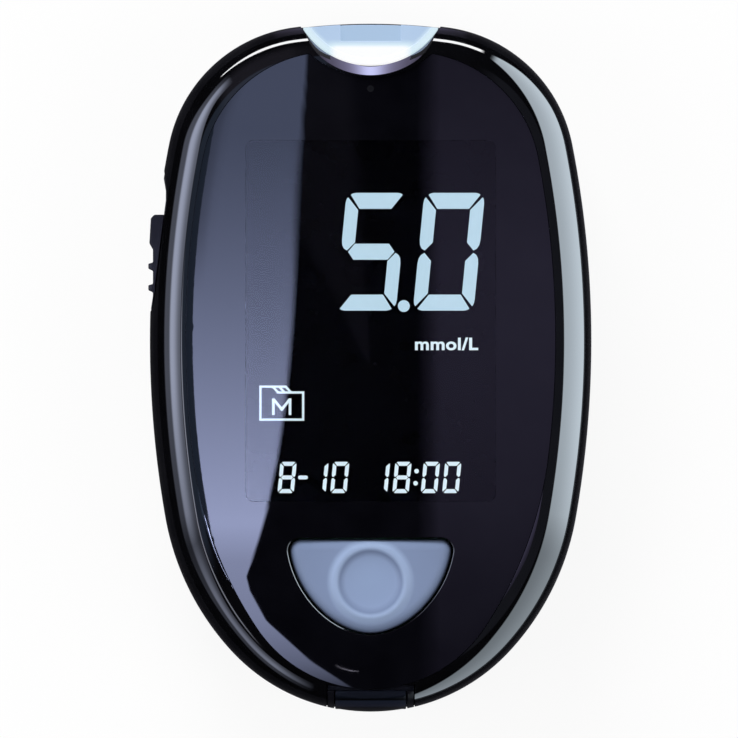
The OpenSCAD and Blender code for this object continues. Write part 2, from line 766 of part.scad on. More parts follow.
module strip_contacts() {
    color([0.85, 0.65, 0.25]) for (i = [-2 : 2]) {
        x = i * contact_pitch;
        block(x - 0.25, x + 0.25, connector_y + 4, connector_y + connector_len - 1.6,
              strip_z + strip_slot + 0.3, strip_z + strip_slot + 0.6);
        block(x - 0.25, x + 0.25, connector_y + connector_len - 1.9, connector_y + connector_len - 1.6,
              strip_z + strip_slot + 0.5, board_z);
        translate([x - 0.25, connector_y + 5, strip_z + strip_slot + 0.35]) rotate([0, 90, 0])
            cylinder(r = 0.6, h = 0.5, $fn = round_fn);
    }
}

// ---------- ejector ----------

module ejector_slider() {
    low = grip_y + 0.2;
    face = -half_w + 0.4;
    slope = (-reach(outline, recess_top) + 0.45 + half_w - 0.55) / (recess_top - 4 - grip_y - 0.7);
    function floor_x(y) = -half_w + 0.55 + slope * (y - grip_y - 0.7) - gap;
    color([0.13, 0.13, 0.17]) {
        intersection() {
            translate([0, 0, grip_z]) linear_extrude(grip_w) {
                polygon([[floor_x(grip_top), grip_top], [-half_w + 0.1 + 0.5, grip_top],
                         [-half_w + 0.1, grip_top - 0.5], [-half_w - 0.1, grip_top - 4],
                         [face, grip_top - 4.9], [face, low + 2], [-half_w + 0.1, low], [-half_w + 0.25, low],
                         [floor_x(grip_y + 0.9), grip_y + 0.9]]);
                for (y = [grip_top - 7.2, grip_top - 10.2])
                    polygon([[face + 0.3, y - 0.8], [face - grip_rib, y - 0.35], [face - grip_rib, y + 0.35],
                             [face + 0.3, y + 0.6]]);
            }
            translate([-half_w - 1, 0, part_z]) rotate([-90, 0, 0]) linear_extrude(2 * grip_top)
                translate([3, 0]) rounded_plan(6, grip_w, 1.4);
        }
        block(floor_x(neck_y) - 0.3, arm_x, neck_y, neck_y + neck_len, neck_z, neck_z + neck_h);
    }
}

module ejector_arm() {
    color([0.85, 0.85, 0.82]) {
        block(arm_x, arm_x + arm_t, neck_y, cross_y + cross_w, arm_z, arm_z + arm_h);
        block(arm_x, finger_w / 2, cross_y, cross_y + cross_w, arm_z, arm_z + arm_h);
        block(-finger_w / 2, finger_w / 2, cross_y + cross_w - past, finger_tip, finger_z, finger_z + finger_h);
        translate([spring_x, cross_y + cross_w - 0.1, spring_z]) rotate([-90, 0, 0])
            cylinder(r = 0.9, h = 2, $fn = round_fn);
    }
}

module ejector_spring() {
    color([0.75, 0.75, 0.78])
        translate([spring_x, cross_y + cross_w + 0.02, spring_z])
            coil(1.4, 1.4, spring_stop_y - cross_y - cross_w - 0.04, 6, 0.18);
}

// ---------- data port ----------

module data_socket() {
    color([0.75, 0.76, 0.78]) {
        difference() {
            block(-socket_w / 2, socket_w / 2, socket_y, socket_y + socket_len, board_top, board_top + socket_h);
            block(0.3 - socket_w / 2, socket_w / 2 - 0.3, socket_y - past, socket_y + socket_len - 0.4,
                  board_top + 0.3, board_top + socket_h - 0.3);
        }
        block(-1.9, 1.9, socket_y + 0.8, socket_y + socket_len, board_top + 1.5, board_top + 2.1);
    }
}

// Part of the toe's envelope that the bezel and the cover fill
module toe_block(d, half, y1, z0) {
    intersection() {
        arc_sweep(toe_arc) rim_section(d, 6, z0);
        block(-half, half, toe_y - past, y1, z0, body_t);
    }
}

module port_bezel() {
    half = port_bezel_w / 2 - 0.1;
    color([0.1, 0.1, 0.13]) difference() {
        union() {
            toe_block(0, half, cover_top_back, bezel_z + 0.1);
            block(-half, half, bezel_back - 0.5, bezel_back + bezel_t - 0.1, bezel_z + 0.1, deck_top - 0.1);
        }
        block(-cover_w / 2 - 0.1, cover_w / 2 + 0.1, toe_y - past, bezel_back, bezel_z, body_t + past);
        block(-cover_w / 2 - 0.1, cover_w / 2 + 0.1, toe_y - past, 0, deck_top - 0.1, body_t + past);
        block(-socket_w / 2 - 0.5, socket_w / 2 + 0.5, bezel_back - past, socket_y + past,
              board_top - 0.4, board_top + socket_h + 0.4);
        translate([-half - past, hinge_y, hinge_z]) rotate([0, 90, 0])
            cylinder(r = pin_r + 0.02, h = 2 * half + 2 * past, $fn = round_fn);
    }
}

module port_cover() {
    half = cover_w / 2 - 0.05;
    lip_z = body_t - 1.5;
    color([0.11, 0.12, 0.17]) difference() {
        union() {
            toe_block(0.05, half, cover_back, hinge_z);
            toe_block(0.05, half, cover_top_back, deck_top + 0.2);
            translate([-half, hinge_y, hinge_z]) rotate([0, 90, 0])
                cylinder(r = barrel_r, h = 2 * half, $fn = round_fn);
            block(0.9 - socket_w / 2, socket_w / 2 - 0.9, cover_back - 0.5, cover_back + 0.9,
                  board_top + 0.6, board_top + socket_h - 0.6);
        }
        // finger step across the top
        translate([0, 0, lip_z]) block(-half - past, half + past, cover_top_back - 1.5, 0, 0, past + 1);
        translate([-half - past, hinge_y, hinge_z]) rotate([0, 90, 0])
            cylinder(r = pin_r + pin_gap, h = 2 * half + 2 * past, $fn = round_fn);
    }
}

module cover_pin() {
    color([0.75, 0.75, 0.78]) translate([-port_bezel_w / 2 + 0.15, hinge_y, hinge_z]) rotate([0, 90, 0])
        cylinder(r = pin_r, h = port_bezel_w - 0.3, $fn = round_fn);
}

// ---------- batteries ----------

door_gap = 0.25;
module battery_door() {
    color([0.08, 0.08, 0.09]) {
        difference() {
            translate([0, 0, 0.1]) linear_extrude(door_t - 0.1) bay_plan(-door_gap);
            // thumb groove of the latch
            translate([0, bay_top - 6, -9.2]) sphere(10, $fn = smooth);
        }
        for (x = [-door_tab_x, door_tab_x])
            block(x - door_tab_w / 2, x + door_tab_w / 2, bay_bottom - door_tab_l, bay_bottom + 2.5,
                  door_tab_z, door_t + 0.3);
        // springy latch, pressed in: its nib snaps into a slot in the end wall of the bay
        block(-latch_w / 2, latch_w / 2, bay_top - door_gap - 1, bay_top - door_gap, door_t - 0.1, latch_z + latch_h);
        block(-latch_w / 2, latch_w / 2, bay_top - door_gap - 0.5, bay_top - 0.15, latch_z, latch_z + latch_h);
        for (x = [-bay_w / 2 + 2, 0, bay_w / 2 - 3.2])
            block(x, x + 1, bay_bottom + 8, bay_top - 8, door_t - 0.1, door_t + 0.3);
    }
}

// One cell along Y, with its positive end at +Y and its flat end at y = 0
module cell() {
    nub = 0.9;
    rotate([-90, 0, 0]) {
        cylinder(r = cell_r, h = cell_len - nub, $fn = round_fn);
        cylinder(r = 1.9, h = cell_len, $fn = round_fn);
    }
}

module battery_left() {
    color([0.2, 0.25, 0.32]) translate([cell_x[0], bay_bottom + spring_room, cell_z]) cell();
}

module battery_right() {
    color([0.2, 0.25, 0.32]) translate([cell_x[1], bay_top - spring_room, cell_z]) rotate(180) cell();
}

plate_t = 0.4;
module battery_springs() {
    room = spring_room - plate_t - 0.06;
    color([0.78, 0.78, 0.8]) {
        translate([cell_x[0], bay_bottom + plate_t + 0.03, cell_z]) coil(3.6, 2.2, room, 4, 0.3);
        translate([cell_x[1], bay_top - plate_t - 0.03, cell_z]) rotate(180) coil(3.6, 2.2, room, 4, 0.3);
    }
}

// Contact plates at the ends of the bay, each with a tail up to the board; the bumped ones meet the nubs
module contact_plate(bump) {
    half = 4;
    block(-half, half, 0, plate_t, cell_z - half + 0.5, cell_z + half);
    block(-0.9, 0.9, 0, plate_t, cell_z, board_z);
    if (bump) translate([0, plate_t - 0.1, cell_z]) rotate([-90, 0, 0])
        cylinder(r = 1.6, h = plate_room - plate_t + 0.08, $fn = round_fn);
}

module battery_contacts() {
    color([0.78, 0.78, 0.8]) for (i = [0, 1]) {
        translate([cell_x[i], bay_bottom, 0]) contact_plate(i == 1);
        translate([cell_x[i], bay_top, 0]) rotate(180) contact_plate(i == 0);
    }
}

// ---------- screws ----------

module screw(r, head_r, head_h, length) {
    difference() {
        union() {
            cylinder(r = r, h = length, $fn = round_fn);
            translate([0, 0, -head_h]) cylinder(r = head_r, h = head_h, $fn = round_fn);
        }
        for (turn = [0, 90]) translate([0, 0, -head_h]) rotate(turn)
            cube([head_r * 1.2, head_r * 0.3, head_h], center = true);
    }
}

module case_screws() {
    color([0.6, 0.6, 0.62]) for (p = case_screw_at) translate([p[0], p[1], screw_seat])
        screw(screw_r, screw_head_r, screw_head_h, screw_tip - screw_seat);
}

module board_screws() {
    color([0.6, 0.6, 0.62]) for (p = post_at) translate([p[0], p[1], board_z])
        screw(board_screw_r, board_screw_head_r, board_screw_head_h, board_t + board_screw_len - 0.4);
}

rear_case();
front_case();
face_panel();
panel_adhesive();
display_gasket();
lcd_glass();
diffuser_film();
light_guide();
lcd_frame();
zebra_strip();
backlight_leds();
main_board();
processor();
measuring_chip();
small_components();
buzzer();
main_button();
main_switch();
main_switch_plunger();
set_button();
set_switch();
port_lens();
port_leds();
strip_connector();
strip_contacts();
ejector_slider();
ejector_arm();
ejector_spring();
data_socket();
port_bezel();
port_cover();
cover_pin();
battery_door();
battery_left();
battery_right();
battery_springs();
battery_contacts();
case_screws();
board_screws();
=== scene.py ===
"""Looks of the blood glucose meter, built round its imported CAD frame."""
from math import asin, atan2, ceil, copysign, cos, degrees, exp, hypot, pi, radians, sin, sqrt, tan

import bmesh
import bpy
import numpy as np
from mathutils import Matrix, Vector

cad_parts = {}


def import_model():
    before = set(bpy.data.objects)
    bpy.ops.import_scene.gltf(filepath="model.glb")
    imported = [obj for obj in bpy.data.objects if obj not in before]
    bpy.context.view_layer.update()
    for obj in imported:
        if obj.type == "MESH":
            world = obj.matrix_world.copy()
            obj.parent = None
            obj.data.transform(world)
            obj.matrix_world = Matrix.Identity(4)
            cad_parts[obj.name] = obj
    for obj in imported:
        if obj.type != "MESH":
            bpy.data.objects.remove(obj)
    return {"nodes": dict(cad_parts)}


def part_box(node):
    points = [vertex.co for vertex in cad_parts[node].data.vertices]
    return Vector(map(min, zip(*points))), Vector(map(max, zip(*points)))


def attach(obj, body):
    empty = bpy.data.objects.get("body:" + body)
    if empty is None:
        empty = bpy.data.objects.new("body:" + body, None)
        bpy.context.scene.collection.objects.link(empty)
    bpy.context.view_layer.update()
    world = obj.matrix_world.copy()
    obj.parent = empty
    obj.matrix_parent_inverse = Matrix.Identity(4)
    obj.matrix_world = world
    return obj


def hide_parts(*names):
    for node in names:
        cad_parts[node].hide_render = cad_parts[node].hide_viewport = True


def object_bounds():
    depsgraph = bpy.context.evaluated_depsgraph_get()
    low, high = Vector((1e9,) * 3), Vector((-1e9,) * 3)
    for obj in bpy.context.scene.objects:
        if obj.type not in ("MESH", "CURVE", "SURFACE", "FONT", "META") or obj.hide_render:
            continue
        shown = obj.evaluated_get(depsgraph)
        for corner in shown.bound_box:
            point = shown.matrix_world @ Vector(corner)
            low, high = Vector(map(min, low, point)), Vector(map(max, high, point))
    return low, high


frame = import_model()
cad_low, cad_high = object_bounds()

MM = 0.001


def node_box(node):
    """Lowest and highest corner of a CAD node, in millimetres."""
    low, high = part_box(node)
    return low / MM, high / MM


# ---------- sizes in millimetres, from the frame where it gives them ----------

case_high = node_box("rear_case")[1]
front_low, front_high = node_box("front_case")
panel_low, panel_high = node_box("face_panel")
glass_high = node_box("lcd_glass")[1]
key_low, key_high = node_box("main_button")
slider_low, slider_high = node_box("ejector_slider")
arm_low = node_box("ejector_arm")[0]
bezel_low, bezel_high = node_box("port_bezel")
contacts_low, contacts_high = node_box("battery_contacts")

HALF_W = case_high.x
TOP = case_high.y
SEAM_Z = front_low.z
CREST_Z = front_high.z
WALL = 1.8
RIM_ROUND = 5.6  # from the flank to the crest of the rim
BACK_ROUND = 9
PART_Z = 13.5  # top edge of the rear shell
WAIST = 3.7  # how far up the case is widest
FLANK_R = 142
SEAM_BREAK = 0.12  # small bevel along the seam

PANEL_CROWN = 0.35
PANEL_TOP = panel_high.z - PANEL_CROWN
PANEL_Z = panel_low.z
PANEL_HALF = HALF_W - 5
FILM_T = 0.15
DECK_T = 1.2
DECK_TOP = PANEL_Z - FILM_T
DECK_Z = DECK_TOP - DECK_T

WINDOW_W = 34.8
WINDOW_TOP = TOP - 16.5
WINDOW_BOTTOM = -18.7
WINDOW_H = WINDOW_TOP - WINDOW_BOTTOM
WINDOW_Y = (WINDOW_TOP + WINDOW_BOTTOM) / 2
WINDOW_CORNER = 1.1
OPENING_MORE, OPENING_CORNER = 1, 1.5  # of the opening in the deck under the window

BUTTON_W = 22.8
BUTTON_H = 13
BUTTON_Y = -TOP + 24.05
BUTTON_BELLY = 1.84  # exponent of the half moon's curve; 2 is an ellipse
BUTTON_CORNER = 1.5
BUTTON_STEPS = 36
RING_Y = BUTTON_Y - 5.85
RING_R = 4.95
SLIDE_GAP = 0.3

PORT_R = 11.4
PORT_Y = TOP - 6.1 + PORT_R
PORT_WALL = 1.5
PORT_CHAMFER = 1.35
CHAMFER_DEPTH = 1.9

OUTLINE_STEP = 0.7  # between points of the outlines
ROUND_STEP = 0.12  # radians between points of the button's rounded corners
NEAR = 0.02  # how close to an exact surface a point counts as on it
CORNER_STEPS = 8  # round each corner of a rectangle

PIXEL = 0.1397
FRAME_X, FRAME_Y = 370.65, 367.2
FRAME_SIZE = 738


def millimetres(px, py):
    """Place on the meter of a pixel of the 738 by 738 frame."""
    return (px - FRAME_X) * PIXEL, (FRAME_Y - py) * PIXEL


def turned(radius, angle):
    return radius * cos(radians(angle)), radius * sin(radians(angle))


def quarter_radii(w, h, flank, turn):
    """Radii of the pole arc and the corner arc that close a quarter outline onto its flank."""
    (c1, s1), (c2, s2) = turned(1, turn[0]), turned(1, turn[1])
    across, along = flank - w - flank * c2, h - flank * s2
    det = -c1 * (s1 - s2) - (c1 - c2) * (1 - s1)
    return (across * (s1 - s2) - (c1 - c2) * along) / det, (-c1 * along - (1 - s1) * across) / det


def egg(w, top, bottom, waist, flank, up, down):
    """Outline as tangent arcs, anticlockwise from the right flank: centre x, centre y, radius, start, end."""
    ru = quarter_radii(w, top - waist, flank, up)
    rd = quarter_radii(w, waist - bottom, flank, down)
    cx = w - flank
    ux, uy = turned(flank - ru[1], up[1])
    dx, dy = turned(flank - rd[1], down[1])
    ux, uy, dx, dy = cx + ux, waist + uy, cx + dx, waist - dy
    return [(cx, waist, flank, -down[1], up[1]), (ux, uy, ru[1], up[1], up[0]),
            (0, top - ru[0], ru[0], up[0], 180 - up[0]), (-ux, uy, ru[1], 180 - up[0], 180 - up[1]),
            (-cx, waist, flank, 180 - up[1], 180 + down[1]), (-dx, dy, rd[1], 180 + down[1], 180 + down[0]),
            (0, bottom + rd[0], rd[0], down[0] - 180, -down[0]), (dx, dy, rd[1], -down[0], -down[1])]


OUTLINE = egg(HALF_W, TOP, -TOP, WAIST, FLANK_R, (82.6, 11.1), (42.7, 10))
FACE = egg(PANEL_HALF, TOP - 3.7, 3.2 - TOP, WAIST + 0.2, FLANK_R - 8, (81.1, 10.9), (33.8, 6.9))


def trace(arcs, inset=0):
    """Points round an outline, with as many at every inset."""
    points = []
    for x, y, r, start, end in arcs[1:] + arcs[:1]:
        n = ceil(radians(end - start) * r / OUTLINE_STEP)
        for k in range(n):
            across, along = turned(r - inset, start + (end - start) * k / n)
            points.append((x + across, y + along))
    return points


def reach(arcs, y):
    """Half width of an outline at the height y."""
    for cx, cy, r, start, end in arcs:
        s = (y - cy) / r
        if abs(s) <= 1 and start <= degrees(asin(s)) <= end:
            return cx + r * cos(asin(s))
    raise ValueError(y)


def rim_place(x, y):
    """Inset from the case outline and outward direction at a point."""
    best = None
    for cx, cy, r, start, end in OUTLINE:
        angle = degrees(atan2(y - cy, x - cx))
        outside = max(0, (start - angle + 180) % 360 - 180, (angle - end + 180) % 360 - 180)
        place = (outside, r - hypot(x - cx, y - cy), cos(radians(angle)), sin(radians(angle)))
        if best is None or place[:2] < best[:2]:
            best = place
    return best[1:]


# ---------- meshes ----------

def add_object(name, mesh):
    piece = bpy.data.objects.new(name, mesh)
    bpy.context.scene.collection.objects.link(piece)
    return piece


def solid(name, points, faces, looks=(), bands=None):
    """Object from points in millimetres; bands gives each face's place in looks."""
    mesh = bpy.data.meshes.new(name)
    mesh.from_pydata([tuple(c * MM for c in p) for p in points], [], faces)
    for look in looks:
        mesh.materials.append(look)
    if bands:
        mesh.polygons.foreach_set("material_index", bands)
    mesh.update()
    return add_object(name, mesh)


def skin(rows, n, closed=True):
    """Faces between rows of n points; closed joins a row's last point to its first."""
    return [(i * n + k, i * n + (k + 1) % n, (i + 1) * n + (k + 1) % n, (i + 1) * n + k)
            for i in range(rows - 1) for k in range(n if closed else n - 1)]


def capped(rows, n):
    """Faces of a closed tube of rows of n points, with both its ends."""
    return skin(rows, n) + [tuple(range(n - 1, -1, -1)), tuple(range((rows - 1) * n, rows * n))]


def loft(name, arcs, levels, looks=(), bands=None):
    """Closed skin through copies of an outline, each at (inset, height)."""
    rings = [trace(arcs, inset) for inset, _ in levels]
    n = len(rings[0])
    points = [(x, y, z) for ring, (_, z) in zip(rings, levels) for x, y in ring]
    index = [bands[i] if bands else 0 for i in range(len(levels) - 1) for k in range(n)]
    return solid(name, points, capped(len(levels), n), looks, index + [0, index[-1]])


def prism(name, outline, z0, z1):
    points = [(x, y, z) for z in (z0, z1) for x, y in outline]
    return solid(name, points, capped(2, len(outline)))


def box(name, x0, x1, y0, y1, z0, z1):
    return prism(name, [(x0, y0), (x1, y0), (x1, y1), (x0, y1)], z0, z1)


def circle(x, y, r, n):
    return [(x + r * cos(2 * pi * k / n), y + r * sin(2 * pi * k / n)) for k in range(n)]


def frustum(name, x, y, r0, r1, z0, z1, n=192, shift=0, looks=()):
    """Round cutter from radius r0 to r1, with its upper end moved along y by shift.

    Its faces take the last look."""
    points = [(x + r * dx, y + along + r * dy, z)
              for r, z, along in ((r0, z0, 0), (r1, z1, shift)) for dx, dy in circle(0, 0, 1, n)]
    faces = capped(2, n)
    return solid(name, points, faces, looks, [max(0, len(looks) - 1)] * len(faces))


def drum(name, x, y, r, z0, z1, n=192):
    return frustum(name, x, y, r, r, z0, z1, n)


def rounded_rectangle(w, h, r, x=0, y=0):
    """Outline about a middle."""
    points = []
    for i, (sx, sy) in enumerate(((1, 1), (-1, 1), (-1, -1), (1, -1))):
        for k in range(CORNER_STEPS + 1):
            dx, dy = turned(r, 90 * i + 90 * k / CORNER_STEPS)
            points.append((x + sx * (w / 2 - r) + dx, y + sy * (h / 2 - r) + dy))
    return points


def span(values):
    """Middle and length of what the values cover."""
    low, high = min(values), max(values)
    return (low + high) / 2, high - low


def shrunk(points, inset):
    """A convex outline moved in: what lies inside every edge's line once that has moved in."""
    result = points
    for a, b in zip(points, points[1:] + points[:1]):
        along = (b - a).normalized()
        outward = Vector((along.y, -along.x))
        limit = a.dot(outward) - inset
        kept = []
        for p, q in zip(result, result[1:] + result[:1]):
            over_p, over_q = p.dot(outward) - limit, q.dot(outward) - limit
            if over_p <= 0:
                kept.append(p)
            if (over_p < 0 < over_q) or (over_q < 0 < over_p):
                kept.append(p + (q - p) * (over_p / (over_p - over_q)))
        result = kept
    return [p for p, q in zip(result, result[1:] + result[:1]) if (p - q).length > 1e-3]


def half_moon(grow=0):
    """Main button's outline, with its corners rounded, grown by a gap."""
    raw = []
    for k in range(BUTTON_STEPS, -1, -1):
        c, s = turned(1, 180 * k / BUTTON_STEPS)
        raw.append(Vector((BUTTON_W / 2 * copysign(abs(c) ** (2 / BUTTON_BELLY), c),
                           BUTTON_Y - BUTTON_H * abs(s) ** (2 / BUTTON_BELLY))))
    inner = shrunk(raw, BUTTON_CORNER)
    result = []
    for before, p, after in zip(inner[-1:] + inner[:-1], inner, inner[1:] + inner[:1]):
        start, end = (atan2(-(q - r).x, (q - r).y) for q, r in ((p, before), (after, p)))
        turn = (end - start) % (2 * pi)
        steps = ceil(turn / ROUND_STEP)
        for k in range(steps + 1):
            angle = start + turn * k / steps
            radius = BUTTON_CORNER + grow
            result.append((p.x + radius * cos(angle), p.y + radius * sin(angle)))
    return result


def applied(piece):
    """Gives a piece the mesh that its modifiers make, and takes them off."""
    graph = bpy.context.evaluated_depsgraph_get()
    piece.data = bpy.data.meshes.new_from_object(piece.evaluated_get(graph))
    piece.modifiers.clear()


def cut(piece, *others):
    """Takes other closed objects away from a piece, and uses them up."""
    for other in others:
        modifier = piece.modifiers.new("cut", "BOOLEAN")
        modifier.operation, modifier.solver, modifier.object = "DIFFERENCE", "EXACT", other
        applied(piece)
        bpy.data.objects.remove(other)


def smooth(piece, angle=30):
    """Smooth shading, with edges sharper than the angle kept."""
    piece.data.shade_smooth()
    piece.data.set_sharp_from_angle(angle=radians(angle))


def set_normals(piece, rule):
    """Smooth shading, with each corner's normal given by rule(point in mm, face normal) or left as it is."""
    smooth(piece)
    mesh = piece.data
    normals = [Vector(n.vector) for n in mesh.corner_normals]
    for face in mesh.polygons:
        for loop in face.loop_indices:
            ruled = rule(mesh.vertices[mesh.loops[loop].vertex_index].co / MM, face.normal)
            if ruled is not None:
                normals[loop] = ruled
    mesh.normals_split_custom_set(normals)


def dress(piece, body, looks, *nodes, slot=None):
    """Gives a piece its materials if it has none, its body, and the CAD nodes that it stands for."""
    piece.data.name = piece.name
    if not piece.data.materials:
        for look in looks:
            piece.data.materials.append(look)
    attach(piece, body)
    if nodes:
        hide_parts(*nodes)


MERGE = 2e-6  # metres between points that become one
FLAT_ANGLE, BEVEL_ANGLE, SMOOTH_ANGLE = 0.4, 30, 35  # degrees between faces


def softened(node, name, body, look, width, slot, segments=2):
    """A node's own form with rounded edges and smooth shading, standing for the node."""
    bm = bmesh.new()
    bm.from_mesh(frame["nodes"][node].data)
    bmesh.ops.remove_doubles(bm, verts=bm.verts, dist=MERGE)
    bmesh.ops.dissolve_limit(bm, angle_limit=radians(FLAT_ANGLE), verts=bm.verts, edges=bm.edges)
    mesh = bpy.data.meshes.new(name)
    bm.to_mesh(mesh)
    bm.free()
    piece = add_object(name, mesh)
    bevel = piece.modifiers.new("edges", "BEVEL")
    bevel.width, bevel.segments = width * MM, segments
    bevel.limit_method, bevel.angle_limit = "ANGLE", radians(BEVEL_ANGLE)
    bevel.use_clamp_overlap = False
    applied(piece)
    low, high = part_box(node)
    for vertex in piece.data.vertices:
        vertex.co = [min(max(c, a), b) for c, a, b in zip(vertex.co, low, high)]
    smooth(piece, SMOOTH_ANGLE)
    flat = piece.modifiers.new("flat", "WEIGHTED_NORMAL")
    flat.keep_sharp = True
    applied(piece)
    dress(piece, body, [look], node, slot=slot)


# ---------- materials ----------

def linear(*rgb):
    """Shader colour of an 8-bit colour."""
    return tuple((c / 255 / 12.92) if c <= 10 else ((c / 255 + 0.055) / 1.055) ** 2.4 for c in rgb)


def new_material(name):
    look = bpy.data.materials.new(name)
    look.use_nodes = True
    return look, look.node_tree, look.node_tree.nodes["Principled BSDF"]


def feed(tree, node, *values, **named):
    """Fills a node's sockets, in order or by name, each with a link or a plain value."""
    pairs = list(zip(node.inputs, values))
    pairs += [(node.inputs[name.replace("_", " ")], value) for name, value in named.items()]
    for socket, value in pairs:
        if isinstance(value, bpy.types.NodeSocket):
            tree.links.new(value, socket)
        else:
            socket.default_value = value


def add_node(tree, kind, *values, **named):
    node = tree.nodes.new("ShaderNode" + kind)
    feed(tree, node, *values, **named)
    return node


def object_place(tree):
    return add_node(tree, "TexCoord").outputs["Object"]


def along_axis(tree, axis):
    """Coordinate in metres along the object's X, Y or Z."""
    return add_node(tree, "SeparateXYZ", object_place(tree)).outputs[axis]


def calculated(tree, kind, operation, *values):
    """Math or VectorMath node."""
    node = add_node(tree, kind, *values)
    node.operation = operation
    return node.outputs


def distance_from(tree, x, y):
    """Distance in metres from an upright axis, whose place is in millimetres."""
    flat = calculated(tree, "VectorMath", "MULTIPLY", object_place(tree), (1, 1, 0))["Vector"]
    return calculated(tree, "VectorMath", "DISTANCE", flat, (x * MM, y * MM, 0))["Value"]


def noise(tree, scale, detail, stretch=None):
    place = object_place(tree)
    if stretch:
        place = add_node(tree, "Mapping", Vector=place, Scale=stretch).outputs["Vector"]
    return add_node(tree, "TexNoise", Vector=place, Scale=scale, Detail=detail).outputs["Fac"]


def ranged(tree, value, low, high, start=0, end=1, method="LINEAR"):
    """Value from start to end, turned into one from low to high."""
    node = add_node(tree, "MapRange", Value=value, From_Min=start, From_Max=end, To_Min=low, To_Max=high)
    node.interpolation_type = method
    return node.outputs["Result"]


def ramped(tree, value, stops):
    """Colour that follows a value, from stops of (position, shader colour)."""
    node = add_node(tree, "ValToRGB", Fac=value)
    elements = node.color_ramp.elements
    for i, (position, colour) in enumerate(stops):
        stop = elements[i] if i < 2 else elements.new(position)
        stop.position, stop.color = position, (*colour, 1)
    return node.outputs["Color"]


MOTTLE_NOISE, ROUGH_NOISE = (180, 4), (420, 5)  # scale and detail


def surface(name, dark, light, rough, grain=0.6, bump=0.1, stretch=None, **sockets):
    """Procedural finish: a mottle between two 8-bit colours, a roughness range and a fine bump.

    grain is the size of the bump in millimetres, and bump its depth in micrometres."""
    look, tree, shader = new_material(name)
    stops = ((0.35, linear(*dark)), (0.65, linear(*light)))
    mottle = ramped(tree, noise(tree, *MOTTLE_NOISE, stretch), stops)
    roughness = ranged(tree, noise(tree, *ROUGH_NOISE, stretch), *rough)
    feed(tree, shader, Base_Color=mottle, Roughness=roughness, **sockets)
    if bump:
        height = noise(tree, 1 / (grain * MM), 3, stretch)
        relief = add_node(tree, "Bump", Strength=1, Distance=bump * 1e-6, Height=height)
        feed(tree, shader, Normal=relief.outputs["Normal"])
    return look


def metal(name, dark, light, rough):
    return surface(name, dark, light, rough, grain=0.25, bump=2, Metallic=1)


gloss_black = surface("rim_gloss", (6, 6, 8), (9, 9, 12), (0.02, 0.05), grain=1.5, bump=0.05, IOR=2.3)
satin_black = surface("flank_satin", (13, 13, 17), (18, 18, 22), (0.12, 0.18), grain=0.25, bump=1,
                      Specular_IOR_Level=0.2)
case_black = surface("case_satin", (30, 30, 33), (38, 38, 42), (0.4, 0.5), grain=0.3, bump=9)
panel_black = surface("panel_gloss", (5, 5, 9), (8, 8, 13), (0, 0.015), bump=0, IOR=1.5)
slider_navy = surface("slider_satin", (31, 31, 42), (38, 38, 50), (0.32, 0.4), grain=0.25, bump=5,
                      Specular_IOR_Level=0.3)
bezel_dark = surface("bezel_satin", (13, 13, 19), (18, 18, 25), (0.25, 0.35), grain=0.3, bump=4,
                     Specular_IOR_Level=0.2)
door_black = surface("door_satin", (32, 32, 35), (40, 40, 43), (0.42, 0.52), grain=0.28, bump=12)
cell_jacket = surface("cell_jacket", (60, 72, 92), (70, 84, 106), (0.22, 0.3), grain=1, bump=1)
steel = metal("bright_steel", (178, 178, 180), (204, 204, 206), (0.22, 0.36))
nickel = metal("nickel_strip", (186, 186, 184), (206, 206, 202), (0.2, 0.34))
gold = metal("contact_gold", (206, 168, 88), (226, 190, 110), (0.2, 0.32))
edge_gloss = surface("panel_edge_gloss", (10, 10, 14), (14, 14, 18), (0.05, 0.1), bump=0, IOR=2.3)
lcd_dark = surface("display_dark", (2, 2, 5), (4, 4, 8), (0.1, 0.16), bump=0, IOR=1.12)

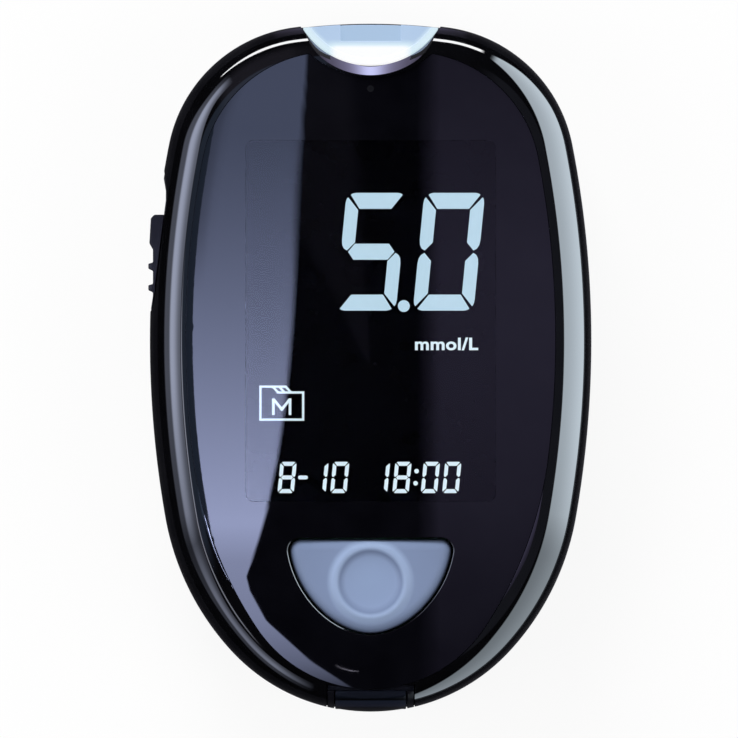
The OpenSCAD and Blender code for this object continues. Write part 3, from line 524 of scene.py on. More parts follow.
NODE_LOOKS = {
    "display_gasket": surface("gasket_foam", (28, 28, 28), (40, 40, 40), (0.85, 0.95), grain=0.2, bump=60),
    "zebra_strip": surface("zebra_rubber", (206, 140, 150), (226, 160, 168), (0.7, 0.8), bump=8,
                           stretch=(14, 1, 1)),
    "main_board": surface("board_green", (18, 82, 48), (30, 104, 62), (0.26, 0.38), grain=0.8, bump=12),
    "processor": surface("chip_epoxy", (34, 34, 36), (46, 46, 48), (0.5, 0.62), grain=0.2, bump=10),
    "set_switch": metal("set_switch_steel", (176, 176, 178), (196, 196, 198), (0.26, 0.4)),
    "lcd_glass": lcd_dark, "strip_contacts": gold, "ejector_spring": steel, "cover_pin": steel,
    "battery_springs": steel, "board_screws": steel, "data_socket": nickel, "battery_contacts": nickel}
for node, name, dark, light, rough, bump in (
        ("panel_adhesive", "film_clear_tan", (196, 196, 188), (208, 208, 200), (0.5, 0.6), 4),
        ("diffuser_film", "diffuser_white", (236, 236, 242), (246, 246, 250), (0.6, 0.7), 3),
        ("light_guide", "guide_acrylic", (206, 220, 236), (222, 234, 246), (0.08, 0.14), 1),
        ("lcd_frame", "frame_white", (232, 232, 226), (242, 242, 238), (0.42, 0.52), 5),
        ("backlight_leds", "led_ceramic", (240, 240, 208), (250, 250, 224), (0.3, 0.4), 2),
        ("port_leds", "port_led_ceramic", (240, 240, 208), (250, 250, 224), (0.3, 0.4), 2),
        ("measuring_chip", "chip_epoxy_small", (34, 34, 36), (46, 46, 48), (0.5, 0.62), 10),
        ("small_components", "component_tan", (140, 118, 92), (170, 148, 120), (0.4, 0.5), 6),
        ("buzzer", "buzzer_black", (32, 32, 34), (42, 42, 44), (0.42, 0.52), 8),
        ("main_switch", "switch_black", (50, 50, 52), (60, 60, 62), (0.42, 0.52), 6),
        ("main_switch_plunger", "plunger_tan", (200, 190, 160), (212, 202, 172), (0.4, 0.5), 4),
        ("strip_connector", "connector_black", (30, 30, 34), (40, 40, 44), (0.4, 0.5), 6),
        ("ejector_arm", "arm_acetal", (214, 214, 208), (226, 226, 220), (0.36, 0.46), 5)):
    NODE_LOOKS[node] = surface(name, dark, light, rough, bump=bump)
for node, look in NODE_LOOKS.items():
    mesh = frame["nodes"][node].data
    if not mesh.materials:
        mesh.materials.append(look)
    for i in range(len(mesh.materials)):
        mesh.materials[i] = look

# ---------- front case ----------

# The rim is two arcs: a tight one up from the flank to the knee, and a wide one over the crest
KNEE_TURN = 46
SHOULDER_R = 3.9
knee_cos, knee_sin = turned(1, KNEE_TURN)
KNEE_INSET = SHOULDER_R * (1 - knee_sin)
CREST_R = (RIM_ROUND - KNEE_INSET) / knee_sin
SHOULDER_Z = CREST_Z - CREST_R * (1 - knee_cos) - SHOULDER_R * knee_cos
TURN_STEP = 2
SAME_WAY = 0.95  # least cosine between the exact normal and the face's own


def rim_levels():
    """Levels from the seam up to the crest, and the material index of each band."""
    levels = [(SEAM_BREAK, SEAM_Z), (0, SEAM_Z + SEAM_BREAK), (0, (SEAM_Z + SHOULDER_Z) / 2)]
    for turn in range(90, KNEE_TURN, -TURN_STEP):
        angle = radians(turn)
        levels.append((SHOULDER_R * (1 - sin(angle)), SHOULDER_Z + SHOULDER_R * cos(angle)))
    satin = len(levels)
    for turn in range(KNEE_TURN, -1, -TURN_STEP):
        angle = radians(turn)
        levels.append((RIM_ROUND - CREST_R * sin(angle), CREST_Z - CREST_R * (1 - cos(angle))))
    return levels, [int(i >= satin) for i in range(len(levels) - 1)]


def rim_normal(point, face_normal):
    """Exact normal of the rim and flank at a point of the outer skin."""
    inset, across, along = rim_place(point.x, point.y)
    if inset > RIM_ROUND - 0.05 or point.z < SEAM_Z + 0.1:
        return None
    if inset >= KNEE_INSET - 1e-3:
        up = CREST_Z - CREST_R * (1 - sqrt(max(0, 1 - ((RIM_ROUND - inset) / CREST_R) ** 2)))
        lean = min(1, (RIM_ROUND - inset) / CREST_R)
    elif point.z > SHOULDER_Z:
        lean = min(1, 1 - inset / SHOULDER_R)
        up = SHOULDER_Z + SHOULDER_R * sqrt(max(0, 1 - lean * lean))
    else:
        if inset > NEAR:
            return None
        lean, up = 1, point.z
    if abs(point.z - up) > NEAR:
        return None
    normal = Vector((across * lean, along * lean, sqrt(max(0, 1 - lean * lean))))
    return normal if normal.dot(face_normal) > SAME_WAY else None


TRAVEL = 5  # of the ejector
SCOOP_Z = 4.4  # lower end of the scoop on the flank
SCOOP_MARGIN = 1.1  # past the slider's upper end at full travel
SCOOP_DEPTH, SCOOP_TOP_DEPTH = 0.55, 0.45
FOOT_STEP = 0.32  # how much shallower the scoop is below the slider
NECK_UP, NECK_RUN, NECK_HALF = 4, 11.3, 1.4  # start, length and half height of the neck's slot


def ejector_scoop():
    """Cutters for the scoop down the left flank that the slider runs in, and for its neck's slot."""
    top = slider_high.y + TRAVEL + SCOOP_MARGIN
    low = slider_low.y - 0.2
    edge = -reach(OUTLINE, top)
    deep = edge + SCOOP_TOP_DEPTH
    plan = [(edge - 3, top), (-HALF_W - 3, low - 0.2), (-HALF_W, low - 0.2),
            (SCOOP_DEPTH - HALF_W, low + 0.7), (deep, top - 4), (deep, top - 2.7), (edge, top)]
    neck = slider_low.y + NECK_UP
    return [prism("scoop", plan, slider_low.z - 0.2, CREST_Z),
            prism("scoop_foot", [(x - FOOT_STEP, y) for x, y in plan], SCOOP_Z, slider_low.z - 0.1),
            box("neck_slot", -HALF_W - 1, arm_low.x - 0.8, neck - 0.3, neck + NECK_RUN, PART_Z - NECK_HALF,
                PART_Z + NECK_HALF)]


def notch_wall(name, grow, z0, z1):
    return drum(name, 0, PORT_Y, PORT_R + PORT_WALL + grow, z0, z1)


def data_notch(z0, z1):
    """Cutter for the place of the bezel at the foot."""
    return box("data_notch", bezel_low.x - 0.1, bezel_high.x + 0.1, -TOP - 1, bezel_high.y + 0.1, z0, z1)


CHAMFER_NARROWS, CHAMFER_SHIFT = 0.68, -2.64  # of the chamfer's cone, in widths of the chamfer


def front_shell():
    levels, bands = rim_levels()
    shell = loft("front_shell", OUTLINE, levels, [satin_black, gloss_black], bands)
    cavity = prism("cavity", trace(OUTLINE, WALL), SEAM_Z - 1, DECK_Z)
    cut(cavity, notch_wall("wall", 0, SEAM_Z - 2, DECK_Z + 1))
    pocket = prism("pocket", trace(FACE), DECK_TOP, CREST_Z + 1)
    cut(pocket, notch_wall("wall", 0, DECK_TOP - 1, CREST_Z + 2))
    window = rounded_rectangle(WINDOW_W + OPENING_MORE, WINDOW_H + OPENING_MORE, OPENING_CORNER, 0, WINDOW_Y)
    chamfer = frustum("chamfer", 0, PORT_Y, PORT_R, PORT_R - CHAMFER_NARROWS * PORT_CHAMFER,
                      CREST_Z - CHAMFER_DEPTH, CREST_Z + CHAMFER_DEPTH,
                      shift=CHAMFER_SHIFT * PORT_CHAMFER, looks=[satin_black, gloss_black])
    cut(shell, cavity, pocket,
        prism("window", window, DECK_Z - 1, CREST_Z),
        prism("key_hole", half_moon(SLIDE_GAP), DECK_Z - 1, CREST_Z),
        drum("notch", 0, PORT_Y, PORT_R, SEAM_Z - 1, CREST_Z + 1),
        chamfer, *ejector_scoop(), data_notch(SEAM_Z - 1, CREST_Z + 1))
    set_normals(shell, rim_normal)
    dress(shell, "case", [], "front_case", slot="rim_plastic")


front_shell()

# ---------- rear case ----------

BAY_W, BAY_WALL, BAY_ROOF, BAY_CORNER = 28.4, 1.2, 12.9, 2
BAY_LOW, BAY_HIGH = contacts_low.y, contacts_high.y
BAY_H, BAY_MID = BAY_HIGH - BAY_LOW, (BAY_HIGH + BAY_LOW) / 2
BOSS_R = 3.2
SCREW_HOLE_R, SCREW_HOLE_TOP = 2.2, 6.5
STRIP_HALF, STRIP_Z = 6.2, 11.5  # half width and floor of the opening behind the lens
STRIP_LOW, STRIP_HIGH = TOP - 9.1, TOP - 3.1
TAB_X, TAB_HALF, TAB_Z = 8, 2.7, (0.9, 3.2)  # slots for the door's two tabs
LATCH_HALF, LATCH_Z = 4.7, (2.1, 3.3)
SLOT_REACH = 2.2  # of the slots for tabs and latch, into the bay's wall
# Solid part beside the ejector's slider: its width, and how far it goes past the slider's ends and under it
GUARD_W, GUARD_PAST, GUARD_UNDER = 6, (2, 7.6), 1.7
SET_X, SET_Y, SET_R = 11, -6, 2.15  # hole of the set button


def back_levels(inset, top):
    levels = []
    for turn in range(0, 91, 5):
        x, y = turned(BACK_ROUND - inset, turn)
        levels.append((BACK_ROUND - y, BACK_ROUND - x))
    return levels + [(inset, top)]


def rear_shell():
    shell = loft("rear_shell", OUTLINE, back_levels(0, PART_Z - SEAM_BREAK) + [(SEAM_BREAK, PART_Z)])
    cavity = loft("cavity", OUTLINE, back_levels(WALL, PART_Z + 1))
    screws = screw_places()
    around = rounded_rectangle(BAY_W + 2 * BAY_WALL, BAY_H + 2 * BAY_WALL, BAY_CORNER + BAY_WALL, 0, BAY_MID)
    cut(cavity,
        prism("bay_wall", around, -1, BAY_ROOF + 1),
        notch_wall("port_wall", 0, BACK_ROUND - PORT_WALL, PART_Z + 2),
        box("ejector_wall", -HALF_W - 1, -HALF_W + GUARD_W, slider_low.y - GUARD_PAST[0],
            slider_high.y + GUARD_PAST[1], slider_low.z - GUARD_UNDER, PART_Z + 2),
        *[drum("boss", x, y, BOSS_R, -1, PART_Z + 2, 48) for x, y in screws])
    cut(shell, cavity,
        prism("bay", rounded_rectangle(BAY_W, BAY_H, BAY_CORNER, 0, BAY_MID), -1, BAY_ROOF),
        drum("notch", 0, PORT_Y, PORT_R, BACK_ROUND, PART_Z + 3),
        *ejector_scoop(),
        box("port_window", -STRIP_HALF, STRIP_HALF, STRIP_LOW, STRIP_HIGH, STRIP_Z, PART_Z + 3),
        data_notch(BACK_ROUND - 0.7, PART_Z + 3),
        *[drum("screw_hole", x, y, SCREW_HOLE_R, -1, SCREW_HOLE_TOP, 64) for x, y in screws],
        *[box("tab_slot", x - TAB_HALF, x + TAB_HALF, BAY_LOW - SLOT_REACH, BAY_LOW + 1, *TAB_Z)
          for x in (-TAB_X, TAB_X)],
        box("latch_slot", -LATCH_HALF, LATCH_HALF, BAY_HIGH - 1, BAY_HIGH + SLOT_REACH, *LATCH_Z),
        drum("set_hole", SET_X, SET_Y, SET_R, BAY_ROOF - 1, BAY_ROOF + 2, 64))
    for vertex in shell.data.vertices:
        vertex.co.y = max(vertex.co.y, cad_low.y)
    smooth(shell)
    dress(shell, "case", [case_black], "rear_case", slot="case_plastic")


def screw_places():
    """Middles of the four case screws, one in each quarter of the case."""
    points = [v.co / MM for v in frame["nodes"]["case_screws"].data.vertices]
    centres = []
    for sx in (-1, 1):
        for sy in (-1, 1):
            group = [p for p in points if p.x * sx > 0 and (p.y - 5) * sy > 0]
            centres.append([span([p[axis] for p in group])[0] for axis in (0, 1)])
    return centres


rear_shell()

# ---------- face panel ----------

PANEL_EDGE = 0.1  # gap round the panel
PANEL_RINGS = [0.1 * i for i in range(1, 10)] + [0.94, 0.97, 0.985, 1]
PANE_GAP = 0.03
EDGE_W, EDGE_DROP = 0.1, 0.086  # bevel of the key hole
EDGE_LESS, EDGE_LESS_X = 0.46, 8  # the share that it loses, and how far right it has lost that


def crown(x):
    return PANEL_TOP + PANEL_CROWN * (1 - (x / PANEL_HALF) ** 2)


def heightfield(name, outline, centre, height, floor, rings, looks=()):
    """Closed solid over a star-shaped outline: rings are shares of the way from the centre to the edge."""
    n = len(outline)
    cx, cy = centre
    points = [(cx + (x - cx) * s, cy + (y - cy) * s) for s in rings for x, y in outline]
    tops = [(x, y, height(x, y)) for x, y in points]
    base = [(x, y, floor) for x, y in outline]
    middle, bottom = len(tops) + n, len(tops) + n + 1
    sides = [(a, d, c, b) for a, b, c, d in skin(len(rings) + 1, n)]
    faces = sides[:-n] + [(middle, k, (k + 1) % n) for k in range(n)] + sides[-n:]
    faces += [(bottom, len(tops) + (k + 1) % n, len(tops) + k) for k in range(n)]
    return solid(name, tops + base + [(cx, cy, height(cx, cy)), (cx, cy, floor)], faces, looks)


def crown_normal(point, face_normal):
    """Exact normal of the crowned face, where a point is on it."""
    if face_normal.z < 0.999 or point.z < PANEL_Z + 0.5 or abs(point.z - crown(point.x)) > NEAR:
        return None
    slope = 2 * PANEL_CROWN * point.x / PANEL_HALF ** 2
    return Vector((slope, 0, 1)).normalized()


def edge_cutter(name, grow):
    """Bevels the key hole's edge on the crowned panel, with a polished face that fades to the right."""
    levels = ((grow, -EDGE_DROP), (grow + 2 * EDGE_W, EDGE_DROP), (grow + 2 * EDGE_W, 0.5))
    rings = []
    for out, drop in levels:
        rings.append([(x, y, crown(x) + drop * (1 - EDGE_LESS * min(1, max(0, x / EDGE_LESS_X))))
                      for x, y in half_moon(out)])
    n = len(rings[0])
    points = [p for ring in rings for p in ring]
    faces = skin(3, n) + [(3 * n, (k + 1) % n, k) for k in range(n)]
    faces += [(3 * n + 1, 2 * n + k, 2 * n + (k + 1) % n) for k in range(n)]
    points += [(0, RING_Y, crown(0) - EDGE_DROP), (0, RING_Y, crown(0) + 0.5)]
    return solid(name, points, faces, [panel_black, edge_gloss], [1] * len(faces))


def face_plate():
    plate = heightfield("face_plate", trace(FACE, PANEL_EDGE), (0, 0), lambda x, y: crown(x), PANEL_Z,
                        PANEL_RINGS, [panel_black, edge_gloss])
    window = rounded_rectangle(WINDOW_W, WINDOW_H, WINDOW_CORNER, 0, WINDOW_Y)
    cut(plate, notch_wall("notch", 0.1, PANEL_Z - 1, CREST_Z + 1),
        prism("key_hole", half_moon(SLIDE_GAP), PANEL_Z - 1, CREST_Z + 1), edge_cutter("key_edge", SLIDE_GAP),
        prism("window", window, PANEL_Z - 1, CREST_Z + 1))
    set_normals(plate, crown_normal)
    dress(plate, "case", [], "face_panel", slot="panel_plastic")


def clear_look(name, ior):
    look, tree, shader = new_material(name)
    feed(tree, shader, Base_Color=(0.97, 0.98, 1, 1), Transmission_Weight=1, IOR=ior,
         Roughness=ranged(tree, noise(tree, 300, 4), 0, 0.012))
    return look


def window_pane():
    """Clear part of the face panel, over the display.

    Its underside bends and mirrors nothing, so that the display can be read from low down as well."""
    outline = rounded_rectangle(WINDOW_W - PANE_GAP, WINDOW_H - PANE_GAP, WINDOW_CORNER, 0, WINDOW_Y)
    pane = heightfield("window_pane", outline, (0, WINDOW_Y), lambda x, y: crown(x), PANEL_Z,
                       [0.1 * i for i in range(1, 11)])
    set_normals(pane, crown_normal)
    for face in pane.data.polygons:
        face.material_index = 1 if abs(face.normal.z) < 0.5 else 2 if face.normal.z < 0 else 0
    looks = [clear_look("window_clear", 1.48), lcd_dark, clear_look("window_under", 1)]
    dress(pane, "case", looks, slot="panel_plastic")


face_plate()
window_pane()

# ---------- display ----------

DIGIT_Z = glass_high.z + 0.01
DIGIT_T = 0.02
SLANT = 0.098


def digit_parts(w, h, th, tv, gap):
    """Outlines of the seven segments, upright, about the middle of the digit.

    th and tv are the thickness of flat and upright segments."""
    hw, hh = w / 2, h / 2
    r = 0.5 * tv
    tip = 0.3 * r
    g = gap / 2
    nose = 0.45 * tv

    def flip(points, sx, sy):
        return [(x * sx, y * sy) for x, y in points]

    corner = [(-hw + tip + 2 * g, hh - tip), (-hw + 0.55 * r + 2 * g, hh - 0.12 * r), (-hw + r + 2 * g, hh)]
    top = corner + flip(corner, -1, 1)[::-1] + [(hw - tv - g, hh - th), (-hw + tv + g, hh - th)]
    side = [(-hw + tip, hh - tip - 2 * g), (-hw + 0.1 * r, hh - 0.6 * r - 2 * g), (-hw, hh - 1.2 * r - 2 * g),
            (-hw, th * 0.75), (-hw + 0.12 * nose, th * 0.42), (-hw + 0.45 * nose, th * 0.2), (-hw + nose, g),
            (-hw + tv, th * 0.5 + g), (-hw + tv, hh - th - g)]
    middle = [(-hw + nose + g, 0), (-hw + tv, th / 2), (hw - tv, th / 2), (hw - nose - g, 0),
              (hw - tv, -th / 2), (-hw + tv, -th / 2)]
    return {"a": top, "f": side, "b": flip(side, -1, 1), "g": middle, "e": flip(side, 1, -1),
            "c": flip(side, -1, -1), "d": flip(top, 1, -1)}


LIT = {"0": "abcdef", "1": "bc", "5": "afgcd", "8": "abcdefg"}


def facing_up(points):
    area = sum(points[k - 1][0] * points[k][1] - points[k][0] * points[k - 1][1] for k in range(len(points)))
    return points if area > 0 else points[::-1]


def plates(name, outlines):
    """Several thin plates as one mesh, on the display."""
    points, faces = [], []
    for outline in outlines:
        outline = facing_up(outline)
        base = len(points)
        points += [(x, y, z) for z in (DIGIT_Z, DIGIT_Z + DIGIT_T) for x, y in outline]
        faces += [tuple(base + k for k in face) for face in capped(2, len(outline))]
    return solid(name, points, faces)


def digits(places, *sizes):
    """Segment outlines of digits, each given by its sign and the pixel of its middle."""
    outlines = []
    parts = digit_parts(*sizes)
    for sign, px, py in places:
        x0, y0 = millimetres(px, py)
        for key in LIT[sign]:
            outlines.append([(x0 + (x + SLANT * y) * PIXEL, y0 + y * PIXEL) for x, y in parts[key]])
    return outlines


def strokes(width, *path):
    """Outlines of straight strokes from pixel to pixel."""
    outlines = []
    places = [Vector(millimetres(*pixel)) for pixel in path]
    for a, b in zip(places, places[1:]):
        along = (b - a).normalized() * width * PIXEL / 2
        side = Vector((-along.y, along.x))
        a, b = a - along, b + along
        outlines.append([tuple(p) for p in (a + side, a - side, b - side, b + side)])
    return outlines


def glow(name, colour, strength):
    look, tree, shader = new_material(name)
    mottle = ramped(tree, noise(tree, 900, 2), ((0, [c * 0.94 for c in colour]), (1, colour)))
    feed(tree, shader, Base_Color=(0.01, 0.01, 0.012, 1), Roughness=0.4, Emission_Color=mottle,
         Emission_Strength=strength)
    return look


def lettering(name, text, px, py, width, height, embolden):
    """Generic letters as a flat mesh of the given size in pixels, centred on a pixel."""
    curve = bpy.data.curves.new(name, "FONT")
    curve.body, curve.align_x, curve.align_y = text, "CENTER", "CENTER"
    curve.size, curve.offset, curve.extrude = 1, embolden, DIGIT_T
    curve.space_character = 1.06
    holder = add_object(name + "_curve", curve)
    bpy.context.view_layer.update()
    mesh = bpy.data.meshes.new_from_object(holder.evaluated_get(bpy.context.evaluated_depsgraph_get()))
    bpy.data.objects.remove(holder)
    spans = [span([v.co[axis] for v in mesh.vertices]) for axis in (0, 1)]
    for v in mesh.vertices:
        x, y = (start + (c - middle) / length * size * PIXEL for start, c, (middle, length), size
                in zip(millimetres(px, py), v.co, spans, (width, height)))
        v.co = Vector((x, y, DIGIT_Z + (v.co.z + DIGIT_T) / 2)) * MM
    return add_object(name, mesh)


def dot(px, py, radius, n):
    """Round outline about a pixel, with its radius in pixels."""
    return [millimetres(px + dx, py + dy) for dx, dy in circle(0, 0, radius, n)]


def display():
    """Generic reading, unit, memory sign and clock row, all placed by pixels of the frame."""
    lit = glow("segment_lit", linear(188, 217, 232), 1.05)
    white = glow("small_segment_lit", linear(222, 240, 247), 1.05)
    big = digits([("5", 371.2, 252), ("0", 448.7, 252)], 60.5, 117.5, 16, 13.2, 2.4)
    big.append(dot(403.7, 306.2, 5.9, 32))
    dress(plates("reading_digits", big), "case", [lit])
    row_y = 477.2
    row = zip("8101800", (287.4, 319.2, 339.9, 380.5, 401.9, 430.2, 451.5))
    small = digits([(sign, px, row_y) for sign, px in row], 16.3, 31.2, 4, 3.7, 1)
    small.append([millimetres(px, py) for px, py in rounded_rectangle(9.5, 3.8, 1.6, 303.2, row_y)])
    small += [dot(416.4, 470.9, 2.3, 20), dot(415.4, 483, 2.3, 20)]
    dress(plates("clock_digits", small), "case", [white])
    icon = strokes(2.3, (286, 386.6), (260.8, 386.6), (260.8, 419.5), (303.4, 419.5), (303.4, 392.4),
                   (278, 392.4))
    for x in (273.6, 280, 286.4):
        icon += strokes(2.3, (x, 387.2), (x + 4.4, 391.8))
    for x in (273.7, 290.3):
        icon += strokes(2.7, (x, 399.7), (x, 413.5))
    icon += strokes(2.7, (274.6, 400), (282.1, 409.3), (289.5, 400))
    dress(plates("memory_icon", icon), "case", [white])
    dress(lettering("unit_letters", "mmol/L", 446.3, 344, 63, 12.8, 0.028), "case", [white])


display()

# ---------- main key ----------

KEY_FACE = PANEL_TOP + PANEL_CROWN
KEY_EDGE, KEY_DROP = 1.5, 1.1  # width and fall of the key's rounded edge
KEY_DOME, KEY_FALL, FALL_Y = 0.45, 0.25, 7  # how far the face falls to its sides and to its foot
RIDGE_H, RIDGE_W = 0.3, 0.62
DISH_R, DISH_DEPTH = 4.35, 0.42
KEY_RINGS = 80


def key_height(outline):
    """Height of the key's face by place: a dome with a rounded edge, a raised ring and a dish inside it."""
    edges = np.array(outline)
    spans = np.roll(edges, -1, axis=0) - edges
    lengths = (spans ** 2).sum(1)

    def height(x, y):
        p = np.array((x, y))
        t = np.clip(((p - edges) * spans).sum(1) / lengths, 0, 1)
        inside = sqrt(((edges + spans * t[:, None] - p) ** 2).sum(1).min())
        edge = max(0, 1 - inside / KEY_EDGE)
        r = hypot(x, y - RING_Y)
        ridge = RIDGE_H * exp(-((r - RING_R) / RIDGE_W) ** 2)
        dish = -DISH_DEPTH * (1 - (r / DISH_R) ** 4) if r < DISH_R else 0
        dome = -KEY_DOME * (x / (BUTTON_W / 2)) ** 2 - KEY_FALL * max(0, (RING_Y - y) / FALL_Y) ** 2
        z = KEY_FACE + dome - KEY_DROP * (1 - sqrt(max(0, 1 - edge * edge))) + dish
        return min(z + ridge, key_high.z)
    return height


def filled(outline, step):
    """An outline with extra points along its long edges."""
    result = []
    for a, b in zip(outline, outline[1:] + outline[:1]):
        n = max(1, ceil(hypot(b[0] - a[0], b[1] - a[1]) / step))
        result += [(a[0] + (b[0] - a[0]) * k / n, a[1] + (b[1] - a[1]) * k / n) for k in range(n)]
    return result


def paint_light_and_shade(look, value, start, end, stops):
    """Paints light and shade into a finish's colour by a length from start to end, with stops of
    (millimetres, 8-bit colour).
    """
    tree = look.node_tree
    share = ranged(tree, value, 0, 1, start * MM, end * MM)
    colour = ramped(tree, share, [((at - start) / (end - start), linear(*rgb)) for at, rgb in stops])
    feed(tree, tree.nodes["Principled BSDF"], Base_Color=colour)
    return look


def key_look():
    """Satin silicone, with painted light and shade round the ring's middle: a painted highlight on the raised
    ring, a lighter painted middle, and a painted shade line at the dish's edge.
    """
    look = surface("key_satin_painted_light", (118, 134, 170), (122, 138, 174), (0.42, 0.5), grain=0.18, bump=3)
    # painted highlight on the raised ring (4.75 to 5.4 mm) and painted shade line at the dish's edge (4.3 mm)
    stops = ((0, (138, 157, 192)), (3.5, (136, 154, 189)), (4.3, (118, 134, 167)), (4.75, (150, 169, 203)),
             (5.4, (150, 169, 203)), (6.2, (124, 140, 173)), (12, (119, 134, 166)))
    return paint_light_and_shade(look, distance_from(look.node_tree, 0, RING_Y), 0, 12, stops)


def cover_look():
    """Dark blue satin, with painted light and shade along its length: a painted shade line across it for a
    groove that the mesh doesn't have, a painted highlight on the lip below it, and painted shade towards its
    foot.
    """
    look = surface("cover_satin_painted_light", (13, 17, 27), (17, 21, 32), (0.28, 0.36), grain=0.3, bump=4,
                   Specular_IOR_Level=0.2)
    # painted shade at the foot, painted highlight on the lip, and a painted shade line near -46.3 mm where a
    # groove would run
    stops = ((-48, (6, 6, 10)), (-47.45, (13, 14, 22)), (-47.2, (28, 31, 46)), (-46.5, (25, 31, 46)),
             (-46.38, (4, 5, 9)), (-46.2, (4, 5, 9)), (-46.08, (11, 15, 24)), (-45, (14, 19, 31)))
    return paint_light_and_shade(look, along_axis(look.node_tree, "Y"), -48, -45, stops)


def main_key():
    outline = filled(half_moon(), 0.3)
    rings = [i / KEY_RINGS for i in range(1, KEY_RINGS + 1)]
    key = heightfield("main_key", outline, (0, RING_Y), key_height(outline), key_low.z + 1, rings)
    smooth(key, 60)
    dress(key, "main_button", [key_look()], "main_button", slot="key_plastic")


main_key()

# ---------- smaller pieces ----------

def lens_look():
    """Frosted clear plastic, lit from inside where it meets the case and below the strip channel."""
    look, tree, shader = new_material("lens_lit")

    def part(value, low, high, share):
        return ranged(tree, value, 0, share, low * MM, high * MM, "SMOOTHSTEP")

    lip = part(distance_from(tree, 0, PORT_Y), PORT_R - 1.7, PORT_R - 0.7, 0.75)
    middle = part(calculated(tree, "Math", "ABSOLUTE", along_axis(tree, "X"))[0], 8.5, 4.5, 1)
    below = part(along_axis(tree, "Y"), TOP - 2.2, TOP - 3.6, 1)
    lit = calculated(tree, "Math", "MAXIMUM", lip, calculated(tree, "Math", "MULTIPLY", middle, below)[0])[0]
    stops = [(0, linear(168, 195, 224)), (0.75, linear(214, 236, 244)), (1, linear(254, 254, 255))]
    feed(tree, shader, Base_Color=(0.07, 0.08, 0.1, 1), Emission_Color=ramped(tree, lit, stops),
         Emission_Strength=0.86, Roughness=ranged(tree, noise(tree, 500, 4), 0.3, 0.45))
    return look


softened("port_lens", "strip_port_lens", "case", lens_look(), 0.12, "lens_plastic")
softened("ejector_slider", "ejector_grip", "ejector", slider_navy, 0.12, "slider_plastic")
softened("port_bezel", "data_port_bezel", "case", bezel_dark, 0.08, "bezel_plastic")
softened("port_cover", "data_port_cover", "port_cover", cover_look(), 0.12, "cover_plastic")
softened("battery_door", "battery_hatch", "battery_door", door_black, 0.15, "door_plastic")
softened("battery_left", "cell_left", "case", cell_jacket, 0.35, "cell_jacket", segments=3)
softened("battery_right", "cell_right", "case", cell_jacket, 0.35, "cell_jacket", segments=3)
softened("case_screws", "case_screw_set", "case", steel, 0.08, "screw_steel")
softened("set_button", "set_key", "set_button", NODE_LOOKS["set_switch"], 0.12, "button_silver")


def sensor_dot():
    """Tiny light sensor window above the display."""
    x, y = millimetres(370.5, 89.5)
    look = surface("sensor_dark", (11, 11, 14), (15, 15, 18), (0.45, 0.55), bump=1, Specular_IOR_Level=0.2)
    window = prism("sensor_dot", circle(x, y, 0.48, 32), crown(x) - 0.2, crown(x) + 0.01)
    smooth(window)
    dress(window, "case", [look])


sensor_dot()

# ---------- stage, light and camera ----------

FLOOR_HALF = 8000
FLOOR_GREY = 0.93
FLOOR_LIFT = 0.9  # share of plain white in what the camera sees of the floor
SKY_LIGHT = 0.4


def bare_tree(owner):
    """Emptied node tree of a material or world."""
    owner.use_nodes = True
    owner.node_tree.nodes.clear()
    return owner.node_tree


def shown(tree, shader, kind="Material"):
    add_node(tree, "Output" + kind, Surface=shader)


def floor():
    """Pale floor that keeps the shadow, and that shows nothing of itself from below."""
    look = bpy.data.materials.new("floor_white")
    tree = bare_tree(look)
    diffuse = add_node(tree, "BsdfDiffuse", (FLOOR_GREY, FLOOR_GREY, FLOOR_GREY, 1)).outputs[0]
    white = add_node(tree, "Emission").outputs[0]
    clear = add_node(tree, "BsdfTransparent").outputs[0]
    path = add_node(tree, "LightPath").outputs
    below = add_node(tree, "NewGeometry").outputs["Backfacing"]
    share = calculated(tree, "Math", "MULTIPLY", path["Is Camera Ray"], FLOOR_LIFT)[0]
    unseen = calculated(tree, "Math", "MAXIMUM", below, path["Is Shadow Ray"])[0]
    lifted = add_node(tree, "MixShader", share, diffuse, white).outputs[0]
    shown(tree, add_node(tree, "MixShader", unseen, lifted, clear).outputs[0])
    corners = [(x * FLOOR_HALF, y * FLOOR_HALF, 0) for x, y in ((-1, -1), (1, -1), (1, 1), (-1, 1))]
    piece = solid("floor", corners, [(0, 1, 2, 3)], [look])
    piece.visible_glossy = False


def world():
    """Soft light from all round, which is plain white to the camera, in gloss and through clear plastic."""
    sky = bpy.data.worlds.new("studio")
    bpy.context.scene.world = sky
    tree = bare_tree(sky)
    soft, white = (add_node(tree, "Background", Color=(1, 1, 1, 1), Strength=strength).outputs[0]
                   for strength in (SKY_LIGHT, 1))
    path = add_node(tree, "LightPath").outputs
    seen = path["Is Camera Ray"]
    for ray in ("Is Glossy Ray", "Is Transmission Ray"):
        seen = calculated(tree, "Math", "MAXIMUM", seen, path[ray])[0]
    shown(tree, add_node(tree, "MixShader", seen, soft, white).outputs[0], "World")


def lamp(name, place, size, power):
    """Round lamp that points at the meter and isn't seen itself."""
    light = bpy.data.lights.new(name, "AREA")
    light.shape, light.size, light.energy = "DISK", size, power
    holder = add_object(name, light)
    holder.location = place
    holder.rotation_euler = (-Vector(place)).to_track_quat("-Z", "Y").to_euler()
    holder.visible_camera = holder.visible_glossy = False


def painted_light():
    """Material that shows the colour painted on its mesh, as light."""
    look = bpy.data.materials.new("tent_light")
    tree = bare_tree(look)
    paint = add_node(tree, "Attribute")
    paint.attribute_name = "light"
    shown(tree, add_node(tree, "Emission", Color=paint.outputs["Color"]).outputs[0])
    look.cycles.emission_sampling = "NONE"
    return look


